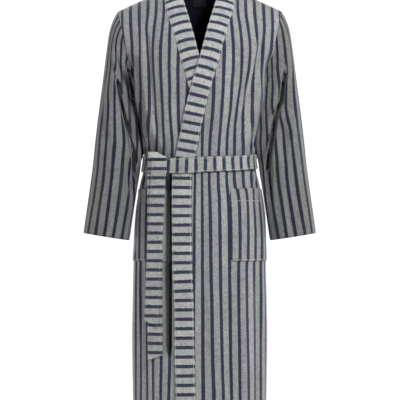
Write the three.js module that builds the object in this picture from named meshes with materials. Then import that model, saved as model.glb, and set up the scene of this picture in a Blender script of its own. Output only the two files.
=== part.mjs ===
// A long kimono bathrobe, worn and tied, hollow, with nobody in it.
// Millimetres, +Z up. The front faces -Y and +X is the wearer's left.
// The origin is on the centre plane, level with the neck ends of the two shoulder seams.
//
// Every panel is a wall of cloth laid along one body form. A place on the form is
// (face, across, down): face is FRONT or BACK, across runs from -1 at the wearer's right edge
// to +1 at the left edge, and down is 0 on the shoulder ridge, 1 at the chest line, and then
// grows by 1 for each DOWN_STEP of height.

import * as THREE from "three";

// ---- driving dimensions ----
const CLOTH = 2.5; // one layer of terry
const BAND_CLOTH = 5; // front band, folded double
const BELT_CLOTH = 4; // belt, folded double and sewn flat
const LABEL_CLOTH = 1;
const SEAM_GAP = 0.3;
const NECK_HALF_WIDTH = 95;
const NECK_BACK_Y = 95;
const NECK_SIDE_Y = 20;
const NECK_BACK_DROP = 12;
const SHOULDER_TIP = { x: 228, y: 5, z: -62 };
const CHEST_Z = -170;
const UNDERARM_Z = -312;
const HEM_Z = -1219;
const DOWN_STEP = 100;
const ARMHOLE_DEPTH = 62; // half the armhole's width, front to back
const ARMHOLE_HOLLOW = 4; // how far its middle curves in from a straight line between its ends
const BAND_WIDTH = 53;
// Round the neck the band stands up: its free edge is an arc of this half width and depth, from
// startY at the shoulder seams back, and it rises by backRise to its height at the centre back.
const BAND_FREE_EDGE = { x: 57, startY: 11, depth: 66, z: 34, backRise: 8 };
const OVERLAP_LIFT = 9; // the left front lies this far outside the right one
const BELT_WIDTH = 44;
const BELT_EASE = 1.5; // between the belt and the cloth it gathers
const BELT_MID_Z = -484;
const BELT_TILT = 10;
const POCKET = { inner: 80, top: -559, bottom: -758, corner: 14 };
const LABEL = { halfWidth: 20, top: -16, bottom: -42 };

const FRONT = -1;
const BACK = 1;

// Outlines as [height, value] pairs, read by a smooth curve.
const sideHalfWidth = outline([
  [-312, 187], [-391, 170], [-440, 159], [-475, 153], [-520, 159], [-560, 168],
  [-620, 178], [-700, 182], [-860, 186], [-970, 188], [-1219, 184],
]);
const frontDepth = outline([
  [-170, 125], [-250, 128], [-312, 125], [-391, 114], [-440, 107], [-490, 103],
  [-540, 106], [-620, 114], [-760, 121], [-900, 125], [-1219, 129],
]);
const backDepth = outline([
  [-170, 112], [-250, 116], [-312, 113], [-391, 103], [-440, 97], [-490, 94],
  [-540, 98], [-620, 108], [-760, 116], [-900, 120], [-1219, 124],
]);
// Where the front panel ends and its band begins, from the centre plane towards the panel's side.
const bandSeamX = outline([
  [0, 95], [-38, 93], [-66, 88], [-108, 77], [-150, 66], [-197, 54], [-244, 40],
  [-337, 15], [-463, -10], [-515, -20], [-757, -20], [-869, -16], [-1037, -13], [-1219, -8],
]);

// ---- colours ----
const cloth = (name, color) =>
  new THREE.MeshStandardMaterial({ name, color, roughness: 0.95, metalness: 0 });
const STRIPED = cloth("striped_terry", 0x969896);
const CROSSWISE = cloth("band_terry", 0xa6a9a3);
const LABEL_WEAVE = cloth("label_weave", 0x0b0c10);

// ---- small maths ----
function outline(points) {
  const slope = (i) => {
    const a = points[Math.max(i - 1, 0)];
    const b = points[Math.min(i + 1, points.length - 1)];
    return (b[1] - a[1]) / (b[0] - a[0]);
  };
  return (at) => {
    let i = 0;
    while (i < points.length - 2 && at < points[i + 1][0]) i += 1;
    const [x0, y0] = points[i];
    const [x1, y1] = points[i + 1];
    const h = x1 - x0;
    const t = THREE.MathUtils.clamp((at - x0) / h, 0, 1);
    const held = y0 * (1 + 2 * t) * (1 - t) ** 2 + y1 * t * t * (3 - 2 * t);
    return held + h * (slope(i) * t * (1 - t) ** 2 + slope(i + 1) * t * t * (t - 1));
  };
}

const rise = (from, to, at) => {
  const t = THREE.MathUtils.clamp((at - from) / (to - from), 0, 1);
  return t * t * (3 - 2 * t);
};
const mix = (a, b, t) => a + (b - a) * t;
const steps = (from, to, count) => Array.from({ length: count + 1 }, (_, i) => mix(from, to, i / count));
const indices = (from, to) => Array.from({ length: to - from + 1 }, (_, i) => from + i);
const downAt = (z) => 1 + (CHEST_Z - z) / DOWN_STEP;
const heightAt = (down) => CHEST_Z - (down - 1) * DOWN_STEP;

// ---- the body form ----
// The armhole is an oval from the shoulder tip to the underarm, leaning in towards the waist.
const armholeAt = (z) => {
  const half = (SHOULDER_TIP.z - UNDERARM_Z) / 2;
  const h = THREE.MathUtils.clamp((z - UNDERARM_Z - half) / half, -1, 1);
  const midX = (SHOULDER_TIP.x + sideHalfWidth(UNDERARM_Z)) / 2;
  const leanX = (SHOULDER_TIP.x - sideHalfWidth(UNDERARM_Z)) / 2;
  const bow = 1 - h * h;
  return { x: midX + leanX * h - ARMHOLE_HOLLOW * bow, y: ARMHOLE_DEPTH * Math.sqrt(bow) };
};
const edgeX = (z) => (z > UNDERARM_Z ? armholeAt(z).x : sideHalfWidth(z));
const sweepAt = (z) => mix(58, 90, rise(-200, UNDERARM_Z, z)) * THREE.MathUtils.DEG2RAD;

// The ridge that the cloth hangs from: the shoulder, or on the back the neck seam between them.
function ridge(face, x) {
  const reach = Math.abs(x) / NECK_HALF_WIDTH;
  if (reach < 1 && face === BACK) {
    const y = NECK_SIDE_Y + (NECK_BACK_Y - NECK_SIDE_Y) * Math.sqrt(1 - reach * reach);
    return { y, z: -NECK_BACK_DROP * (1 - reach * reach), over: reach };
  }
  const t = (Math.max(Math.abs(x), NECK_HALF_WIDTH) - NECK_HALF_WIDTH) / (SHOULDER_TIP.x - NECK_HALF_WIDTH);
  return { y: mix(NECK_SIDE_Y, SHOULDER_TIP.y, t), z: SHOULDER_TIP.z * t, over: 1 };
}

// Soft folds that run from the armpits to the belt and on into the skirt, as
// [across at the top, across at the foot, top z, foot z, half width, height].
const FRONT_FOLDS = [
  [0.8, 0.62, -250, -462, 0.07, -6],
  [0.66, 0.48, -300, -464, 0.06, 5],
  [0.9, 0.82, -520, -1100, 0.06, 5],
  [0.66, 0.6, -800, -1219, 0.07, -4],
];
const BACK_FOLDS = [
  [0.72, 0.55, -240, -462, 0.08, -7],
  [0.4, 0.3, -300, -462, 0.08, 5],
  [0.1, 0.1, -330, -460, 0.07, -4],
  [0.86, 0.8, -520, -1100, 0.07, 5],
  [0.55, 0.6, -515, -1219, 0.07, -7],
  [0.25, 0.3, -515, -1219, 0.07, 6],
];
const bump = (t) => (Math.abs(t) < 1 ? (1 + Math.cos(Math.PI * t)) / 2 : 0);
function foldHeight(face, across, z) {
  const side = Math.abs(across);
  let height = 0;
  for (const [top, foot, topZ, footZ, half, size] of face === FRONT ? FRONT_FOLDS : BACK_FOLDS) {
    const t = (z - topZ) / (footZ - topZ);
    if (t <= 0 || t > 1) continue;
    const ends = rise(0, 0.25, t) * (footZ === HEM_Z ? 1 : rise(1, 0.8, t));
    height += size * ends * bump((side - mix(top, foot, t)) / (2 * half));
  }
  return height;
}

// A point of the form itself, before any layer is moved out from it.
function formPoint(face, across, down) {
  const z = heightAt(Math.max(down, 1));
  const sweep = sweepAt(z);
  const yokeTurn = (Math.PI / 2) * THREE.MathUtils.clamp(1 - down, 0, 1);
  const tipZ = mix(z, SHOULDER_TIP.z, Math.sin(yokeTurn));
  const x = (edgeX(tipZ) * Math.sin(across * sweep)) / Math.sin(sweep);
  const edgeY = z > UNDERARM_Z ? armholeAt(z).y : 0;
  const depth = face === FRONT ? frontDepth(z) : backDepth(z);
  const roundness = (Math.cos(across * sweep) - Math.cos(sweep)) / (1 - Math.cos(sweep));
  const y = face * (edgeY + (depth - edgeY) * roundness + foldHeight(face, across, z));
  if (down >= 1) return new THREE.Vector3(x, y, z);
  const top = ridge(face, x);
  const lift = mix(1 - down, Math.sin(yokeTurn), top.over);
  return new THREE.Vector3(x, mix(top.y, y, Math.cos(yokeTurn)), mix(z, top.z, lift));
}

// The same place moved out from the form by some distance.
function outPoint(face, across, down, out) {
  const e = 0.01;
  const alongX = formPoint(face, across + e, down).sub(formPoint(face, across - e, down));
  const up = Math.max(down - e, 0.001);
  const alongZ = formPoint(face, across, up).sub(formPoint(face, across, up + 2 * e));
  const normal = alongX.cross(alongZ).normalize().multiplyScalar(-face);
  return formPoint(face, across, down).addScaledVector(normal, out);
}

const acrossAt = (x, z) => {
  const sweep = sweepAt(z);
  return Math.asin(THREE.MathUtils.clamp((x * Math.sin(sweep)) / edgeX(z), -1, 1)) / sweep;
};

// ---- walls ----
// A grid is rows of points. A wall of the given thickness is built half on each side of it.
// "around" closes each row on itself, and "seams" holds normals shared with the neighbour.
function gridNormals(grid, around, flip) {
  const rows = grid.length;
  const cols = grid[0].length;
  return grid.map((row, r) =>
    row.map((_, c) => {
      const left = around ? (c + cols - 1) % cols : Math.max(c - 1, 0);
      const right = around ? (c + 1) % cols : Math.min(c + 1, cols - 1);
      const across = grid[r][right].clone().sub(grid[r][left]);
      const along = grid[Math.max(r - 1, 0)][c].clone().sub(grid[Math.min(r + 1, rows - 1)][c]);
      return across.cross(along).normalize().multiplyScalar(flip ? -1 : 1);
    }),
  );
}

// Draws a face's border in from its seams, so that neighbours stay SEAM_GAP apart.
function drawIn(face, around) {
  const last = face.length - 1;
  const pull = (p, towards) => p.addScaledVector(towards.clone().sub(p).normalize(), SEAM_GAP * 0.85);
  face[0].forEach((p, c) => pull(p, face[1][c]));
  face[last].forEach((p, c) => pull(p, face[last - 1][c]));
  if (around) return face;
  for (const row of face) {
    const end = row.length - 1;
    pull(row[0], row[1]);
    pull(row[end], row[end - 1]);
  }
  return face;
}

function solidBetween(outer, inner, { around, flip }) {
  const rows = outer.length;
  const cols = outer[0].length;
  const points = [...outer.flat(), ...inner.flat()];
  const index = [];
  const out = (r, c) => r * cols + (c % cols);
  const inn = (r, c) => rows * cols + out(r, c);
  const quad = (a, b, c, d) => {
    if (flip) index.push(a, c, b, a, d, c);
    else index.push(a, b, c, a, c, d);
  };
  const spans = around ? cols : cols - 1;
  for (let r = 0; r < rows - 1; r += 1) {
    for (let c = 0; c < spans; c += 1) {
      quad(out(r, c), out(r + 1, c), out(r + 1, c + 1), out(r, c + 1));
      quad(inn(r, c), inn(r, c + 1), inn(r + 1, c + 1), inn(r + 1, c));
    }
    if (!around) {
      quad(out(r, 0), inn(r, 0), inn(r + 1, 0), out(r + 1, 0));
      quad(out(r, cols - 1), out(r + 1, cols - 1), inn(r + 1, cols - 1), inn(r, cols - 1));
    }
  }
  for (let c = 0; c < spans; c += 1) {
    quad(out(0, c), out(0, c + 1), inn(0, c + 1), inn(0, c));
    quad(out(rows - 1, c), inn(rows - 1, c), inn(rows - 1, c + 1), out(rows - 1, c + 1));
  }
  const geometry = new THREE.BufferGeometry();
  const coordinates = points.flatMap((p) => [p.x, p.y, p.z]);
  geometry.setAttribute("position", new THREE.Float32BufferAttribute(coordinates, 3));
  geometry.setIndex(index);
  geometry.computeVertexNormals();
  return geometry;
}

function wall(piece, thickness) {
  const moved = (out) =>
    piece.grid.map((row, r) => row.map((p, c) => p.clone().addScaledVector(piece.normals[r][c], out)));
  const outer = drawIn(moved(thickness / 2), piece.around);
  const inner = drawIn(moved(-thickness / 2), piece.around);
  return solidBetween(outer, inner, piece);
}

function sheet(grid, { around = false, flip = false } = {}) {
  return { grid, around, flip, normals: gridNormals(grid, around, flip) };
}

// Gives two sheets the same normal at the points where they are sewn together.
function sew(a, placesA, b, placesB) {
  placesA.forEach(([ra, ca], i) => {
    const [rb, cb] = placesB[i];
    const shared = a.normals[ra][ca].clone().add(b.normals[rb][cb]).normalize();
    a.normals[ra][ca].copy(shared);
    b.normals[rb][cb].copy(shared);
  });
}

// ---- panels ----
const YOKE_ROWS = steps(0, 1, 5);
const ARMHOLE_ROWS = [-208, -246, -280, -303, UNDERARM_Z].map(downAt);
const SKIRT_ROWS = [
  -330, -362, -396, -430, -462, -488, -514, -536, POCKET.top, -605, -655, -705, POCKET.bottom,
  -830, -910, -990, -1070, -1150, HEM_Z,
].map(downAt);
const ROWS = [...YOKE_ROWS, ...ARMHOLE_ROWS, ...SKIRT_ROWS];
const UNDERARM_ROW = YOKE_ROWS.length + ARMHOLE_ROWS.length - 1;
const FRONT_COLUMNS = 9;
const NECK_COLUMNS = 5;

// How far the left front stands off the form, and the room that the belt leaves for it.
const liftAt = (across, z) => OVERLAP_LIFT * rise(-50, -180, z) * rise(0.95, 0.55, across);

// The place of the band seam on one row: on the yoke its height depends on where it is.
function seamPlace(down) {
  let x = NECK_HALF_WIDTH;
  let z = heightAt(down);
  if (down < 1) {
    for (let i = 0; i < 8; i += 1) {
      z = mix(CHEST_Z, ridge(FRONT, x).z, Math.sin((Math.PI / 2) * (1 - down)));
      x = bandSeamX(z);
    }
    const tipZ = mix(CHEST_Z, SHOULDER_TIP.z, Math.sin((Math.PI / 2) * (1 - down)));
    const sweep = sweepAt(CHEST_Z);
    return { across: Math.asin((x * Math.sin(sweep)) / edgeX(tipZ)) / sweep, x, z };
  }
  return { across: acrossAt(bandSeamX(z), z), x: bandSeamX(z), z };
}

const mirrored = (grid, side) => {
  if (side < 0) grid.forEach((row) => row.forEach((p) => p.setX(-p.x)));
  return grid;
};

function frontPanel(side) {
  const grid = ROWS.map((down) =>
    steps(seamPlace(down).across, 1, FRONT_COLUMNS).map((across) =>
      outPoint(FRONT, across, down, side > 0 ? liftAt(across, formPoint(FRONT, across, down).z) : 0)));
  return sheet(mirrored(grid, side), { flip: side < 0 });
}

const backAcross = (() => {
  const shoulder = steps(seamPlace(0).across, 1, FRONT_COLUMNS);
  const sweep = sweepAt(CHEST_Z);
  const neck = steps(0, Math.PI / 2, NECK_COLUMNS).map((turn) =>
    Math.asin((NECK_HALF_WIDTH * Math.sin(turn) * Math.sin(sweep)) / SHOULDER_TIP.x) / sweep);
  const half = [...neck.slice(0, -1), ...shoulder];
  return [...half.slice(1).reverse().map((a) => -a), ...half];
})();

const back = sheet(ROWS.map((down) => backAcross.map((a) => outPoint(BACK, a, down, 0))), { flip: true });
const CENTRE_BACK = (backAcross.length - 1) / 2;

// ---- front bands ----
// Each band is one long folded strip, sewn to the front edge from the hem to the neck and on
// round the back neck to the centre, where the two meet.
function bandFrontRow(down, side) {
  const here = seamPlace(down);
  const above = seamPlace(Math.max(down - 0.05, 0));
  const below = seamPlace(down + 0.05);
  const run = new THREE.Vector2(above.x - below.x, above.z - below.z).normalize();
  const standing = rise(-75, 0, here.z);
  const standsUp = new THREE.Vector3(
    BAND_FREE_EDGE.x - NECK_HALF_WIDTH,
    BAND_FREE_EDGE.startY - NECK_SIDE_Y,
    BAND_FREE_EDGE.z,
  );
  return steps(0, 1, 2).map((t) => {
    const x = here.x - BAND_WIDTH * t * run.y;
    const z = Math.min(here.z + BAND_WIDTH * t * run.x, 0);
    const sink = THREE.MathUtils.clamp((z - CHEST_Z) / (ridge(FRONT, x).z - CHEST_Z), 0, 1);
    const place = z < CHEST_Z ? downAt(z) : 1 - Math.asin(sink) / (Math.PI / 2);
    const across = acrossAt(x, Math.min(z, CHEST_Z));
    const lift = side > 0 ? liftAt(across, z) : 0;
    const flat = outPoint(FRONT, across, place, lift);
    const up = outPoint(FRONT, here.across, down, lift).addScaledVector(standsUp, t);
    return flat.lerp(up, standing);
  });
}

function band(side, front) {
  const round = steps(0, Math.PI / 2, NECK_COLUMNS).slice(1);
  const neckRows = round.map((turn, i) => {
    const seam = back.grid[0][CENTRE_BACK + NECK_COLUMNS - 1 - i].clone();
    const free = new THREE.Vector3(
      BAND_FREE_EDGE.x * Math.cos(turn),
      BAND_FREE_EDGE.startY + BAND_FREE_EDGE.depth * Math.sin(turn),
      BAND_FREE_EDGE.z + BAND_FREE_EDGE.backRise * Math.sin(turn),
    );
    return steps(0, 1, 2).map((t) => seam.clone().lerp(free, t));
  });
  const frontRows = ROWS.map((down, r) => {
    const row = bandFrontRow(down, side);
    row[0].copy(front.grid[r][0]);
    if (side < 0) row[0].setX(-row[0].x);
    return row;
  });
  const grid = [...neckRows.reverse(), ...frontRows];
  return sheet(mirrored(grid, side), { flip: side > 0 });
}

// ---- sleeves ----
// Stations from the armhole to the cuff: over-arm line, underarm line, half depth, middle y.
const overX = [228, 240, 251, 259, 267, 276, 285, 292, 297, 304, 313, 323];
const overZ = [-62, -84, -118, -170, -235, -305, -375, -438, -490, -545, -610, -681];
const underX = [187, 195, 194, 188, 180, 173, 167, 165, 168, 176, 186, 197];
const underZ = [-312, -317, -336, -358, -384, -413, -443, -474, -508, -558, -625, -701];
const sleeveDepth = [62, 65, 68, 70, 70, 69, 68, 66, 64, 62, 60, 57];
const sleeveY = [0, 0, -1, -2, -3, -4, -6, -8, -11, -14, -18, -22];

// Folds that run down the sleeve, as [angle at the top, at the foot, station at the top, at the
// foot, half width, height]. Angles are in degrees from the over-arm line towards the front.
const SLEEVE_FOLDS = [
  [115, 80, 1, 7, 22, -11],
  [145, 110, 2, 9, 18, 8],
  [60, 55, 1, 10, 20, 5],
  [-110, -85, 1, 7, 24, -10],
  [-60, -60, 2, 10, 22, 5],
];

// Below the armpit the spare cloth of the sleeve laps a little way round the body, front and back.
function lean(k, turn) {
  const degrees = THREE.MathUtils.RAD2DEG * turn;
  const reach = 22 * bump((degrees - 118) / 42) + 12 * bump((degrees + 118) / 42);
  return reach * rise(1, 2.5, k) * rise(8, 5.5, k);
}

function sleeve(side, front) {
  const frontEdge = front.grid.slice(0, UNDERARM_ROW + 1).map((row) => row[row.length - 1]);
  const backColumn = side > 0 ? backAcross.length - 1 : 0;
  const backEdge = back.grid.slice(1, UNDERARM_ROW).map((row) => row[backColumn]);
  const hole = [...frontEdge, ...backEdge.reverse()].map((p) => p.clone().setX(p.x * side));
  const middle = new THREE.Vector3((overX[0] + underX[0]) / 2, 0, (overZ[0] + underZ[0]) / 2);
  const turns = hole.map((p) =>
    Math.atan2(-p.y / sleeveDepth[0], (2 * (p.z - middle.z)) / (overZ[0] - underZ[0])));
  const ring = (k, turn) => new THREE.Vector3(
    mix(underX[k], overX[k], (1 + Math.cos(turn)) / 2),
    sleeveY[k] - sleeveDepth[k] * Math.sin(turn),
    mix(underZ[k], overZ[k], (1 + Math.cos(turn)) / 2),
  );
  const folds = (k, turn) => SLEEVE_FOLDS.reduce((sum, [top, foot, from, to, half, size]) => {
    const t = (k - from) / (to - from);
    if (t < 0 || t > 1) return sum;
    const degrees = THREE.MathUtils.RAD2DEG * turn;
    return sum + size * rise(0, 0.3, t) * rise(1, 0.7, t) * bump((degrees - mix(top, foot, t)) / (2 * half));
  }, 0);
  const grid = overX.map((_, k) => hole.map((p, j) => {
    if (k === 0) return p.clone();
    const at = ring(k, turns[j]);
    const keep = rise(4, 0, k);
    at.add(p.clone().sub(ring(0, turns[j])).multiplyScalar(keep));
    const out = at.clone().sub(ring(k, 0).lerp(ring(k, Math.PI), 0.5)).normalize();
    at.x -= lean(k, turns[j]);
    return at.addScaledVector(out, folds(k, turns[j]));
  }));
  return sheet(mirrored(grid, side), { around: true, flip: side > 0 });
}

// ---- pockets ----
// A place between the points of a sheet, moved out from it, so that what lies on a panel fits it.
function onSheet(piece, row, column, out) {
  const r = Math.min(Math.floor(row), piece.grid.length - 2);
  const c = Math.min(Math.floor(column), piece.grid[0].length - 2);
  const blend = (field) => field[r][c].clone().lerp(field[r][c + 1], column - c)
    .lerp(field[r + 1][c].clone().lerp(field[r + 1][c + 1], column - c), row - r);
  return blend(piece.grid).addScaledVector(blend(piece.normals).normalize(), out);
}

function pocket(side, front) {
  const topRow = ROWS.indexOf(downAt(POCKET.top));
  const bottomRow = ROWS.indexOf(downAt(POCKET.bottom));
  const cornerRows = [0.93, 0.97].map((t) => {
    const z = mix(POCKET.top, POCKET.bottom, t);
    return bottomRow - (z - POCKET.bottom) / (heightAt(ROWS[bottomRow - 1]) - POCKET.bottom);
  });
  const rows = [...indices(topRow, bottomRow - 1), ...cornerRows, bottomRow];
  const grid = rows.map((row) => {
    const whole = Math.floor(row);
    const down = mix(ROWS[whole], ROWS[Math.min(whole + 1, bottomRow)], row - whole);
    const z = heightAt(down);
    const above = Math.min(z - POCKET.bottom, POCKET.corner);
    const cut = POCKET.corner - Math.sqrt(POCKET.corner ** 2 - (POCKET.corner - above) ** 2);
    const panelStart = seamPlace(down).across;
    const start = ((acrossAt(POCKET.inner + cut, z) - panelStart) / (1 - panelStart)) * FRONT_COLUMNS;
    const columns = [start, ...indices(4, FRONT_COLUMNS - 1), FRONT_COLUMNS - 0.25];
    return columns.map((column) => onSheet(front, row, column, CLOTH + SEAM_GAP));
  });
  return sheet(grid, { flip: side < 0 });
}

// ---- belt ----
// The waist loop clears both fronts and their bands; it is tied in front of the right hip.
const BELT_LIFT = OVERLAP_LIFT + (BAND_CLOTH - CLOTH) / 2;
function beltOut(face, across) {
  const overFronts = BELT_LIFT * rise(-0.65, -0.37, across) * rise(0.97, 0.6, across);
  return (CLOTH + BELT_CLOTH) / 2 + BELT_EASE + (face === FRONT ? overFronts : 0);
}
// A place on the loop: turn goes once round the body, from the middle of the front.
function beltPoint(turn, up) {
  const face = Math.cos(turn) > 0 ? FRONT : BACK;
  const fromFront = Math.abs(THREE.MathUtils.euclideanModulo(turn + Math.PI, 2 * Math.PI) - Math.PI);
  const across = fromFront / (Math.PI / 2);
  const side = Math.sign(Math.sin(turn)) || 1;
  const place = face === FRONT ? across * side : (2 - across) * side;
  const z = BELT_MID_Z - BELT_TILT * Math.cos(turn + 0.6) + up;
  return outPoint(face, place, downAt(z), beltOut(face, place));
}
const BELT_COLUMNS = 36;
const beltTurns = steps(0, 2 * Math.PI, BELT_COLUMNS).slice(0, -1);
const waist = sheet(
  [0.5, 0, -0.5].map((t) => beltTurns.map((turn) => beltPoint(turn + 0.02, BELT_WIDTH * t))),
  { around: true },
);

// The two tails hang one over the other before the right pocket, turned a little to that side.
// left is the x of a tail's outer edge by height, ends are the heights of its two end corners.
const TAIL_TURN = 18 * THREE.MathUtils.DEG2RAD;
const TAIL_X = -124;
const FRONT_TAIL = {
  top: -480,
  left: outline([[-480, -133], [-560, -137], [-700, -144], [-840, -150], [-940, -154]]),
  ends: [-920, -940],
  ahead: 5.2,
};
const REAR_TAIL = {
  top: -517,
  left: outline([[-517, -145], [-940, -144], [-1035, -143]]),
  ends: [-1031, -1016],
  ahead: 0,
};
const tailY = outline([[-480, -95], [-560, -98], [-700, -102], [-760, -104], [-1035, -104]]);
function tail({ top, left, ends, ahead }) {
  const grid = steps(0, 1, 9).map((t) => steps(0, 1, 2).map((c) => {
    const z = mix(top, mix(ends[0], ends[1], c), t);
    const reach = BELT_WIDTH * c;
    const x = left(z) + reach * Math.cos(TAIL_TURN);
    return new THREE.Vector3(x, tailY(z) - ahead - (x - TAIL_X) * Math.tan(TAIL_TURN), z);
  }));
  return sheet(grid);
}

// The knot is a fold of belt over the waist loop; its lower half lies behind the front tail.
// Each level is [height, y of its outer face at the knot's middle].
const KNOT = { left: -141, right: -91, middle: -112, fold: 14, edge: 5, least: 4, clear: 1 };
const KNOT_LEVELS = [
  [-455, -98], [-460, -105], [-474, -109], [-477, -108], [-478, -100], [-500, -100], [-514, -98],
];
function knot() {
  const outer = [];
  const inner = [];
  KNOT_LEVELS.forEach(([level, proud], r) => {
    const sides = steps(0, 1, 5);
    const back = sides.map((c) => {
      const x = mix(KNOT.left, KNOT.right, c);
      const z = level - (r < 2 ? KNOT.fold * rise(0.3, 1, c) : 0);
      const across = acrossAt(x, z);
      return outPoint(FRONT, across, downAt(z), beltOut(FRONT, across) + BELT_CLOTH / 2 + KNOT.clear).setZ(z);
    });
    inner.push(back);
    outer.push(sides.map((c, i) => {
      const x = mix(KNOT.left, KNOT.right, c);
      const y = proud + KNOT.edge * (2 * c - 1) ** 4 - (x - KNOT.middle) * Math.sin(TAIL_TURN);
      return new THREE.Vector3(x, Math.min(y, back[i].y - KNOT.least), back[i].z);
    }));
  });
  return solidBetween(outer, inner, { around: false, flip: false });
}

// ---- label inside the back neck ----
const label = sheet(
  steps(LABEL.top, LABEL.bottom, 1).map((z) => steps(-LABEL.halfWidth, LABEL.halfWidth, 2).map((x) => {
    const neckZ = back.grid[0][CENTRE_BACK].z;
    const row = (neckZ - z) / (neckZ - back.grid[1][CENTRE_BACK].z);
    const column = CENTRE_BACK + x / back.grid[0][CENTRE_BACK + 1].x;
    return onSheet(back, row, column, -(CLOTH + LABEL_CLOTH) / 2 - 2 * SEAM_GAP);
  })),
  { flip: true },
);

// ---- sewing ----
const frontLeft = frontPanel(1);
const frontRight = frontPanel(-1);
const bandLeft = band(1, frontLeft);
const bandRight = band(-1, frontRight);
const sleeveLeft = sleeve(1, frontLeft);
const sleeveRight = sleeve(-1, frontRight);

const rowsOf = (from, to, column) => indices(from, to).map((r) => [r, column]);
for (const [side, front, frontBand, arm] of [
  [1, frontLeft, bandLeft, sleeveLeft],
  [-1, frontRight, bandRight, sleeveRight],
]) {
  const last = ROWS.length - 1;
  const backEdge = side > 0 ? backAcross.length - 1 : 0;
  const backAt = (c) => CENTRE_BACK + side * (NECK_COLUMNS + c);
  sew(front, rowsOf(UNDERARM_ROW + 1, last, FRONT_COLUMNS), back, rowsOf(UNDERARM_ROW + 1, last, backEdge));
  const columns = indices(0, FRONT_COLUMNS);
  sew(front, columns.map((c) => [0, c]), back, columns.map((c) => [0, backAt(c)]));
  sew(front, rowsOf(0, last, 0), frontBand, rowsOf(NECK_COLUMNS, NECK_COLUMNS + last, 0));
  const neck = indices(0, NECK_COLUMNS - 1);
  sew(back, neck.map((c) => [0, CENTRE_BACK + side * c]), frontBand, neck.map((c) => [c, 0]));
  const hole = indices(0, UNDERARM_ROW);
  sew(front, hole.map((r) => [r, FRONT_COLUMNS]), arm, hole.map((r) => [0, r]));
  const behind = indices(1, UNDERARM_ROW - 1);
  const ringCount = arm.grid[0].length;
  sew(back, behind.map((r) => [r, backEdge]), arm, behind.map((r) => [0, ringCount - r]));
  back.normals[0][backEdge].copy(arm.normals[0][0]);
  back.normals[UNDERARM_ROW][backEdge].copy(arm.normals[0][UNDERARM_ROW]);
  back.normals[0][backAt(0)].copy(frontBand.normals[NECK_COLUMNS][0]);
  frontBand.normals[0].forEach((normal) => normal.setX(0).normalize());
}

// ---- the robe ----
const robe = new THREE.Group();
robe.name = "kimono_bathrobe";
function add(name, geometry, material) {
  const mesh = new THREE.Mesh(geometry, material);
  mesh.name = name;
  robe.add(mesh);
}
add("back", wall(back, CLOTH), STRIPED);
add("front_left", wall(frontLeft, CLOTH), STRIPED);
add("front_right", wall(frontRight, CLOTH), STRIPED);
add("sleeve_left", wall(sleeveLeft, CLOTH), STRIPED);
add("sleeve_right", wall(sleeveRight, CLOTH), STRIPED);
add("band_left", wall(bandLeft, BAND_CLOTH), CROSSWISE);
add("band_right", wall(bandRight, BAND_CLOTH), CROSSWISE);
add("pocket_left", wall(pocket(1, frontLeft), CLOTH), STRIPED);
add("pocket_right", wall(pocket(-1, frontRight), CLOTH), STRIPED);
add("belt_waist", wall(waist, BELT_CLOTH), CROSSWISE);
add("belt_knot", knot(), CROSSWISE);
add("belt_tail_front", wall(tail(FRONT_TAIL), BELT_CLOTH), CROSSWISE);
add("belt_tail_rear", wall(tail(REAR_TAIL), BELT_CLOTH), CROSSWISE);
add("neck_label", wall(label, LABEL_CLOTH), LABEL_WEAVE);

export default robe;
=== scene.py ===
# A worn kimono bathrobe in striped terry, hollow, tied at the waist, with nobody in it.
import math
import bpy
import numpy as np
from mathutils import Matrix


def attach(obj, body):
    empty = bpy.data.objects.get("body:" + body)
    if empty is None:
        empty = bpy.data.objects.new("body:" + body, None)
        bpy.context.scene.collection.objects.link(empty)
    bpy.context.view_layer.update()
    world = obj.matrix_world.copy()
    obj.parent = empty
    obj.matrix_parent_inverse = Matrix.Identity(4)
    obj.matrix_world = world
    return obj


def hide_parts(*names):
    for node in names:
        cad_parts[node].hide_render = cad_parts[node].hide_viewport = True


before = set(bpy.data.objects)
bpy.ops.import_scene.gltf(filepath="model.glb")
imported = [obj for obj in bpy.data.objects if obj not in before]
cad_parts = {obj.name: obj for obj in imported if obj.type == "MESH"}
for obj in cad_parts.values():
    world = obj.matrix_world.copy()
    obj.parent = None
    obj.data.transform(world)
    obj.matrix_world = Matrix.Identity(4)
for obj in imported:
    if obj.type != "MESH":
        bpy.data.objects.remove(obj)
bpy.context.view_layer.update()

# ---- Camera, floor and light ----
# A long lens level with the hips, a pale floor below the hem, and a white studio around it.
# One soft light stands high in front; weaker ones fill from the sides and from behind.
def linear(hex_colour):
    channels = [int(hex_colour[i:i + 2], 16) / 255 for i in (1, 3, 5)]
    return tuple(c / 12.92 if c <= 0.04045 else ((c + 0.055) / 1.055) ** 2.4 for c in channels) + (1.0,)


def node(tree, kind, inputs=None, **settings):
    made = tree.nodes.new(kind)
    for key, value in settings.items():
        setattr(made, key, value)
    for key, value in (inputs or {}).items():
        if isinstance(value, bpy.types.NodeSocket):
            tree.links.new(value, made.inputs[key])
        else:
            made.inputs[key].default_value = value
    return made


camera = bpy.data.objects.new("camera", bpy.data.cameras.new("camera"))
CAMERA_PLACE = (0.0008, -6.0, -0.589)
camera.location = CAMERA_PLACE
camera.rotation_euler = (math.radians(90), 0, 0)
camera.data.sensor_width = 36
camera.data.lens = 192.9
camera.data.clip_end = 60
bpy.context.collection.objects.link(camera)
scene = bpy.context.scene
scene.camera = camera
scene.view_settings.view_transform = "Standard"

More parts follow.
